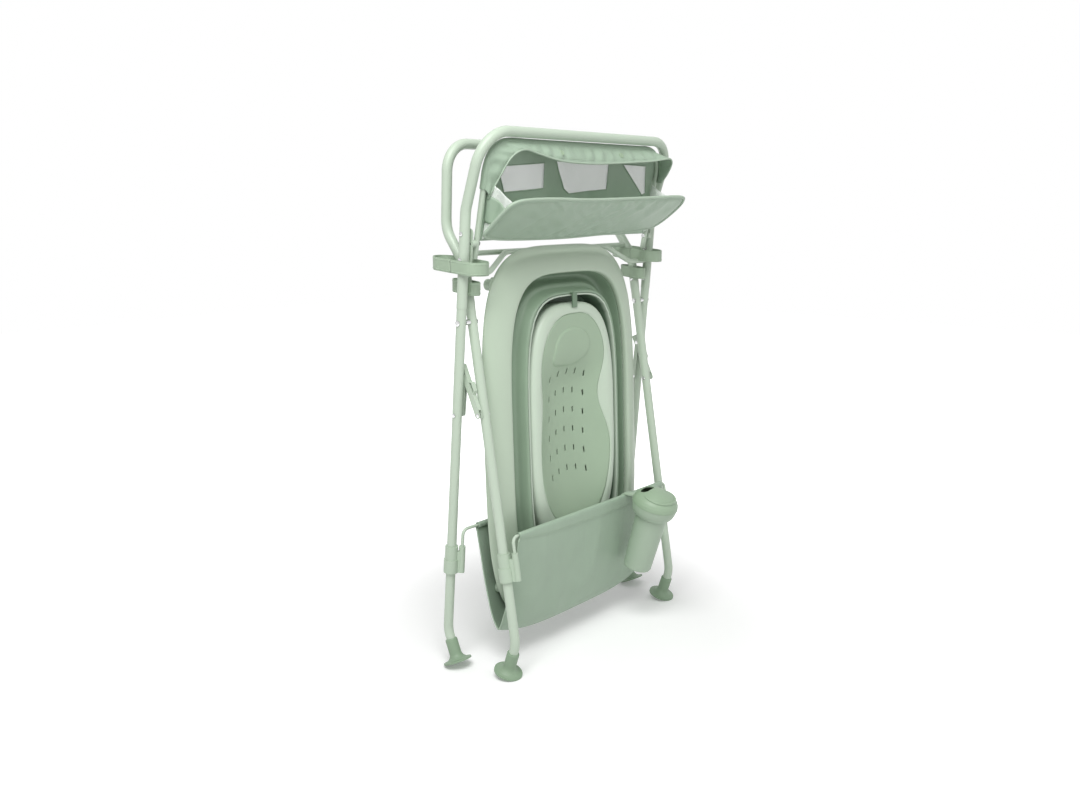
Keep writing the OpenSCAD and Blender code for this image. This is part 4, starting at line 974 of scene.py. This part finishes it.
def back_depth(x, z):
    """Soft folds of the back cloth, which hangs between the side tubes."""
    u = x / BACK_HALF_X
    v = (z - BACK_LOW) / (BACK_TOP - BACK_LOW)
    sag = 5.0 * arch(v) * (1 - u * u)
    fold = 2.2 * bump_at(u - 0.16 - 0.22 * (0.6 - v), 0, 0.06) - 2.0 * bump_at(u - 0.47 + 0.12 * v, 0, 0.05)
    fold += 1.8 * bump_at(u + 0.31 - 0.1 * v, 0, 0.05) + 1.2 * math.sin(6 * u + 3 * v)
    fold += 1.8 * noise.noise(Vector((4 * u, 3 * v, 0.4)))
    return -0.8 + sag + fold * arch(v)


def back_edge(z):
    """Half width of the back cloth at a height, with its round top corners."""
    over = z - (BACK_TOP - BACK_CORNER)
    if over <= 0:
        return BACK_HALF_X
    return BACK_HALF_X - BACK_CORNER + math.sqrt(max(0, BACK_CORNER ** 2 - over ** 2))


def back_row(half, z, behind, steps):
    """Points across the back cloth at a height, some way behind it."""
    return [tray(half * u, back_depth(half * u, z) + behind, z) for u in even_shares(steps)]


def make_back():
    heights = [BACK_LOW + (BACK_TOP - BACK_LOW) * i / 60 for i in range(61)]
    rows = [back_row(back_edge(z), z, 0, 150) for z in heights]
    back = skin("organizer_back_cloth", rows, CLOTH, loop_columns=False)
    thicken(back, BACK_T)
    cut(back, prisms("window_cutter", WINDOWS, -25, 25, lambda u, v, d: tray(u, d, v)))
    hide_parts("tray_back")
    finish_organizer(back)
    mesh_area(back) / 2
    rows = [back_row(NET_HALF_X, NET_LOW + NET_HEIGHT * i / 30, 2.2, 90) for i in range(31)]
    net = skin("organizer_window_net", rows, NET_PANEL, loop_columns=False)
    thicken(net, NET_T)
    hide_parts("tray_windows")
    finish_organizer(net)
    for k, outline in enumerate(WINDOWS):
        path = [tray(x, back_depth(x, z) - 1.0, z) for x, z in straight_sides(outline, 4)]
        edge = tube(f"organizer_window_{k + 1}_edge", path, 0.9, CLOTH, sides=6, closed=True)
        finish_organizer(edge)


def straight_sides(outline, step):
    """A closed line with straight sides, with points about a step apart."""
    points = []
    for a, b in zip(outline, outline[1:] + outline[:1]):
        count = max(2, int(math.dist(a, b) / step))
        points += [tuple(p + (q - p) * k / count for p, q in zip(a, b)) for k in range(count)]
    return points


def mesh_area(piece):
    bpy.context.view_layer.update()
    shape = piece.evaluated_get(bpy.context.evaluated_depsgraph_get())
    return sum(p.area for p in shape.data.polygons)


def finish_organizer(piece):
    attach(piece, "organizer")


def corner_stations(side, edges):
    """Stations round a top corner of the frame, from angles and edge points."""
    stations = []
    for degrees, edge in edges:
        a = math.radians(degrees)
        out = (math.cos(a), math.sin(a))
        x = side * (TRAY_HALF_X - TRAY_CORNER) + TRAY_CORNER * out[0]
        stations.append(((x, TRAY_TOP - TRAY_CORNER + TRAY_CORNER * out[1]), out, edge))
    return stations


def tray_path():
    """Stations along the hood: tube centre and outward direction in the frame's plane, and the edge point."""
    left, right, up = (-1, 0), (1, 0), (0, 1)
    edges = (
        (-164, -27, 169), (-113, -28, 160), (-65, -28, 156), (0, -28, 155), (63, -29, 157), (131, -31, 161),
        (190, -34, 165),
    )
    stations = [((-TRAY_HALF_X, 98), left, (-263, -8, 83)), ((-TRAY_HALF_X, 116), left, (-257, -13, 103))]
    stations += corner_stations(-1, (
        (180, (-247, -17, 129)), (150, (-236, -21, 153)), (120, (-222, -24, 168)), (90, (-199, -26, 175)),
    ))
    stations += [((x, TRAY_TOP), up, edge) for x, edge in zip((-166, -114, -65, 0, 63, 130, 185), edges)]
    stations += corner_stations(1, (
        (90, (228, -37, 170)), (60, (254, -39, 173)), (30, (270, -36, 163)), (0, (273, -28, 140)),
    ))
    stations.append(((TRAY_HALF_X, 116), right, (271, -17, 118)))
    return stations


def dense_stations():
    flat = [tuple(p) + tuple(n) + tuple(e) for p, n, e in tray_path()]
    line = smooth_line(flat, 7)
    return [((v[0], v[1]), Vector((v[2], v[3])).normalized(), (v[4], v[5], v[6])) for v in line]


HOOD_T = 1.2
HOOD_BINDING_R = 1.9
HOOD_STITCH = (3.4, 2.4, 0.4)
# The section's points where the stitches run, and at each snap's middle and below it
HOOD_SEAM_AT = 19
SNAP_AT = 15
SNAP_BELOW = 17
SNAP_PLACES = (("left", -90), ("right", 103))
HOOD_BACK = 24
HOOD_SECTION = 22
# The section's point where the hood leaves the tube, and how far round the tube that is
HOOD_OVER = 9
HOOD_TURN = 0.94 * math.pi


def hood_section(station, k):
    """Point k of the hood's section: up behind the tube, over it, and forward to the bound edge."""
    (px, pz), normal, (ex, ey, ez) = station
    if k == 0:
        return px - normal.x * HOOD_BACK, HOOD_R - 0.6, pz - normal.y * HOOD_BACK
    a = HOOD_TURN * min(1, (k - 1) / (HOOD_OVER - 1))
    out = HOOD_R * math.sin(a)
    sx, sy, sz = px + normal.x * out, HOOD_R * math.cos(a), pz + normal.y * out
    if k <= HOOD_OVER:
        return sx, sy, sz
    t = (k - HOOD_OVER) / (HOOD_SECTION - HOOD_OVER)
    span = math.dist((sx, sz), (ex, ez))
    ripple = 0.9 * math.sin(0.19 * px + 0.21 * pz)
    ripple += 1.4 * noise.noise(Vector((px * 0.045, pz * 0.045, t * 1.6)))
    ripple += 0.8 * noise.noise(Vector((px * 0.13, pz * 0.13, t * 0.8)))
    puff = 0.10 * span * arch(t) + 2.3 * ripple * arch(1.1 * t) ** 0.7
    curve = t ** 0.92
    return sx + (ex - sx) * curve, sy + (ey - sy) * t - puff, sz + (ez - sz) * curve


def make_hood():
    stations = dense_stations()
    rows = [[tray(*hood_section(s, k)) for k in range(HOOD_SECTION + 1)] for s in stations]
    hood = skin("organizer_hood", rows, CLOTH, loop_columns=False)
    soften(thicken(hood, HOOD_T))
    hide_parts("tray_hood")
    finish_organizer(hood)
    edge = [tray(*s[2]) for s in stations]
    binding = tube("organizer_hood_binding", edge, HOOD_BINDING_R, BINDING, sides=10)
    finish_organizer(binding)
    inner = [tray(*hood_section(s, HOOD_SEAM_AT)) - Vector((0, 1.1 * MM, 0)) for s in stations]
    seam = stitch_row("organizer_hood_stitches", inner, Vector((0, -1, 0)), *HOOD_STITCH)
    finish_organizer(seam)
    mesh_area(hood) / 2
    for tag, x in SNAP_PLACES:
        station = min(stations, key=lambda s: abs(s[0][0] - x) + (0 if s[1].y > 0.9 else 1000))
        centre = tray(*hood_section(station, SNAP_AT))
        below = tray(*hood_section(station, SNAP_BELOW))
        snap_button(f"organizer_snap_{tag}", centre, (below - centre).normalized())


SNAP_R = 5.6
SNAP_POINTS = 28


def snap_button(name, centre, down):
    """A cloth-coloured press snap with a rolled rim."""
    side = Vector((1, 0, 0))
    out = down.cross(side).normalized()
    if out.y > 0:
        out = -out
    rows = []
    for r, lift in ((1.0, -0.6), (1.0, 0.9), (0.92, 1.5), (0.8, 1.7), (0.66, 1.3), (0.5, 1.15), (0.25, 1.1)):
        rows.append([
            centre + (side * math.cos(a) + down * math.sin(a)) * SNAP_R * r * MM + out * lift * MM
            for a in (math.tau * k / SNAP_POINTS for k in range(SNAP_POINTS))
        ])
    rows.append([centre + out * 1.1 * MM] * SNAP_POINTS)
    snap = skin(name, rows, SNAP)
    finish_organizer(snap)


PANEL_OUTLINE = [
    (-270, 20), (-206, 9), (-46, 6), (76, 12), (206, 20), (262, 34), (282, 78), (279, 112), (252, 126),
    (161, 124), (-37, 118), (-161, 120), (-239, 117), (-268, 106), (-275, 80), (-276, 42),
]
PANEL_RISE = math.radians(41)
PANEL_Y = -22
PANEL_Z = 825
PANEL_HALF_X = 280
PANEL_LENGTH = 126
PANEL_HALF_T = 3.6
PANEL_MID_S = 66
PANEL_RINGS = 34
PIPING_R = 3.1
PANEL_STITCH = (3.6, 2.5, 0.45)


def panel_point(x, s, lift):
    """s runs up the panel from its low back edge; lift is towards the front and below."""
    c, q = math.cos(PANEL_RISE), math.sin(PANEL_RISE)
    lift += 3.0 * (1 - (x / PANEL_HALF_X) ** 2) * arch(s / PANEL_LENGTH)
    return at(x, PANEL_Y - s * c - lift * q, PANEL_Z + s * q - lift * c)


def panel_wrinkle(x, s):
    u, v = x / PANEL_HALF_X, s / PANEL_LENGTH
    diagonal = 0
    for centre, spread, lean, size in (
        (-0.62, 0.05, 0.35, 0.8), (-0.18, 0.06, 0.5, 1.1), (0.02, 0.05, 0.55, 1.5), (0.16, 0.04, 0.5, 1.2),
        (0.34, 0.05, 0.45, 1.3), (0.62, 0.06, 0.35, 1.0),
    ):
        diagonal += size * bump_at(u - centre - lean * (v - 0.5), 0, spread)
    pleats = 0.8 * math.sin(70 * u) * bump_at(v, 0.93, 0.16) * (0.4 + 0.6 * bump_at(u, 0.25, 0.5))
    rough = 1.3 * noise.noise(Vector((6 * u, 3 * v, 7.0)))
    rough += 0.7 * noise.noise(Vector((16 * u + 6 * v, 6 * v, 2.0)))
    return 2.2 * diagonal + 1.5 * pleats + 1.7 * rough


def make_panel():
    outline = smooth_line(PANEL_OUTLINE, 5, closed=True)

    def ring(t, side, size):
        """Points round the panel, a share t of the way out; side 1 is its front and -1 its back."""
        edge = min(1, (1 - t) / 0.05) ** 0.5
        fade = size * min(1, (1 - t) * 6)
        t = max(t, 0.004)
        row = []
        for x, s in outline:
            x, s = x * t, PANEL_MID_S + (s - PANEL_MID_S) * t
            row.append(panel_point(x, s, side * edge * (PANEL_HALF_T + fade * panel_wrinkle(side * x, s))))
        return row

    shares = [i / PANEL_RINGS for i in range(PANEL_RINGS + 1)]
    rows = [ring(t, 1, 1) for t in shares] + [ring(t, -1, 0.5) for t in reversed(shares[:-1])]
    panel = skin("organizer_front_panel", rows, PANEL_CLOTH)
    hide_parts("tray_panel")
    finish_organizer(panel)
    path = [panel_point(x, s, 0.4) for x, s in outline]
    piping = tube("organizer_panel_piping", path, PIPING_R, BINDING, sides=12, closed=True)
    finish_organizer(piping)
    inset = [(x * 0.972, PANEL_MID_S + (s - PANEL_MID_S) * 0.9) for x, s in outline]
    path = [panel_point(x, s, PANEL_HALF_T + 0.5 + panel_wrinkle(x, s) * 0.35) for x, s in inset]
    front = Vector((0, -math.sin(PANEL_RISE), -math.cos(PANEL_RISE)))
    seam = stitch_row("organizer_panel_stitches", path + path[:1], front, *PANEL_STITCH)
    finish_organizer(seam)


# Each side's place across the back cloth and across the panel, and the length of its edge on each
GUSSET_BACK_X = 259
GUSSET_FRONT_X = 262
GUSSET_BACK_LENGTH = 104
GUSSET_FRONT_LENGTH = 88
GUSSET_STEPS = 20
# Rows of the net, from below, that the cloth lining covers, and how far inside the net it lies
LINED = slice(6, 17)
LINING_INSET = 1.5
LINING_T = 0.8


def make_gussets():
    """Net sides, each with a cloth lining, between the back cloth and the panel."""
    for tag, sign in (("left", -1), ("right", 1)):
        rows = []
        for i in range(GUSSET_STEPS + 1):
            t = i / GUSSET_STEPS
            back = tray(sign * GUSSET_BACK_X, -2, 8 + GUSSET_BACK_LENGTH * t)
            front = panel_point(sign * GUSSET_FRONT_X, 16 + GUSSET_FRONT_LENGTH * t, -4)
            row = []
            for j in range(GUSSET_STEPS + 1):
                w = j / GUSSET_STEPS
                bow = 7 * arch(w) * arch(0.15 + 0.7 * t) + 1.6 * math.sin(9 * w + 5 * t)
                row.append(back.lerp(front, w) + Vector((-sign * bow * MM, 0, 0)))
            rows.append(row)
        lined = [[p + Vector((sign * LINING_INSET * MM, 0, 0)) for p in row] for row in rows[LINED]]
        for part, part_rows, mat, thickness, slot, flat in (
            ("net", rows, NET, NET_T, "mesh_cloth", (0.11, 0.11)),
            ("lining", lined, CLOTH, LINING_T, "basket_cloth", (0.11, 0.06)),
        ):
            side = skin(f"organizer_{tag}_{part}", part_rows, mat, loop_columns=False)
            thicken(side, thickness)
            finish_organizer(side)
            mesh_area(side) / 2


# Webbing loops that hold the folded tubes together

STRAP_WIDTH = 24
STRAP_T = 2.0
STRAP_Y = 12
SEAM_R = 0.55
# Name, middle and half size across, half size in depth, height, and slope to the front in degrees
STRAP_LOOPS = (("loop", 282.5, 27.15, 59, 784, -5), ("band", 268.4, 13.05, 29, 744, -6))


def half_stadium(half_x, half_y, side):
    """Half a stadium, from left to right: side -1 is its front half and 1 its rear."""
    straight = half_y - half_x
    steps = [straight * i / 8 for i in range(8)]
    turns = [math.pi * i / 24 for i in range(25)]
    path = [(-half_x, y) for y in steps]
    path += [(-half_x * math.cos(a), straight + half_x * math.sin(a)) for a in turns]
    path += [(half_x, y) for y in reversed(steps)]
    return [(x, side * y) for x, y in path]


def half_loop(name, node, loop, sign, side):
    """The front or rear half of a webbing loop, with a seam along each edge."""
    _, x_mid, half_x, half_y, z, slope = loop
    x_mid *= sign
    rise = math.tan(math.radians(slope))
    path = half_stadium(half_x, half_y, side)

    def row(v, lift):
        """Points at a share of the webbing's half width, lifted off its middle."""
        points = []
        for x, y in path:
            out = Vector((x, y, 0)).normalized() * lift
            points.append(at(x_mid + x + out.x, STRAP_Y + y + out.y, z - y * rise + v * STRAP_WIDTH / 2))
        return points

    rows = [row(v, 0.35 * (1 - abs(v) ** 6)) for v in (-1, -0.96, -0.82, -0.5, 0, 0.5, 0.82, 0.96, 1)]
    webbing = skin(name, rows, WEBBING, loop_columns=False)
    thicken(webbing, STRAP_T)
    freeze(webbing)
    pieces = [webbing]
    for level, v in (("low", -0.74), ("high", 0.74)):
        pieces.append(tube(f"{name}_seam_{level}", row(v, STRAP_T / 2 + SEAM_R), SEAM_R, THREAD, sides=6))
    for piece in pieces:
        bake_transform(piece)
    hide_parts(node)


def make_straps():
    for tag, sign in (("right", 1), ("left", -1)):
        node = f"strap_{tag}"
        for loop in STRAP_LOOPS:
            half_loop(f"{node}_{loop[0]}_front", node, loop, sign, -1)
            half_loop(f"{node}_{loop[0]}_rear", node, loop, sign, 1)


# Rinse cup's lid: raised crescent round the spout

CUP_BASE = at(112, -120.2, 127.2)
CUP_TILT = math.radians(16.2)
CUP_AXIS = Vector((0, -math.sin(CUP_TILT), math.cos(CUP_TILT)))
CUP_REAR = Vector((0, math.cos(CUP_TILT), math.sin(CUP_TILT)))


# Where the rays to the lid start, and how far the crescent's middle lies off its face
CUP_ABOVE = 240
CRESCENT_LIFT = 0.1
CRESCENT_R = 3.2
CRESCENT_STEPS = 48


def on_lid(tree, x, y):
    """The point just off the lid's face above a place across the cup."""
    start = CUP_BASE + CUP_AXIS * CUP_ABOVE * MM + Vector((x * MM, 0, 0)) + CUP_REAR * y * MM
    hit, normal, _, _ = tree.ray_cast(start, -CUP_AXIS)
    if normal.dot(CUP_AXIS) < 0:
        normal = -normal
    return hit + normal * CRESCENT_LIFT * MM


def make_crescent():
    lid = NODES["cup_lid"].data
    tree = BVHTree.FromPolygons([v.co for v in lid.vertices], [p.vertices for p in lid.polygons])
    path, taper = [], []
    for i in range(CRESCENT_STEPS + 1):
        t = i / CRESCENT_STEPS
        a = math.radians(164 + 198 * t)
        r = 33 + 8 * t
        path.append(on_lid(tree, r * math.cos(a) - 4, r * math.sin(a) - 1))
        taper.append(0.25 + 0.75 * math.sin(math.pi * t) ** 0.6)
    ridge = tube("cup_lid_crescent", path, CRESCENT_R, LID, sides=12, taper=taper)
    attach(ridge, "cup_cover")


make_basket()
make_crescent()
make_back()
make_hood()
make_panel()
make_gussets()
make_straps()
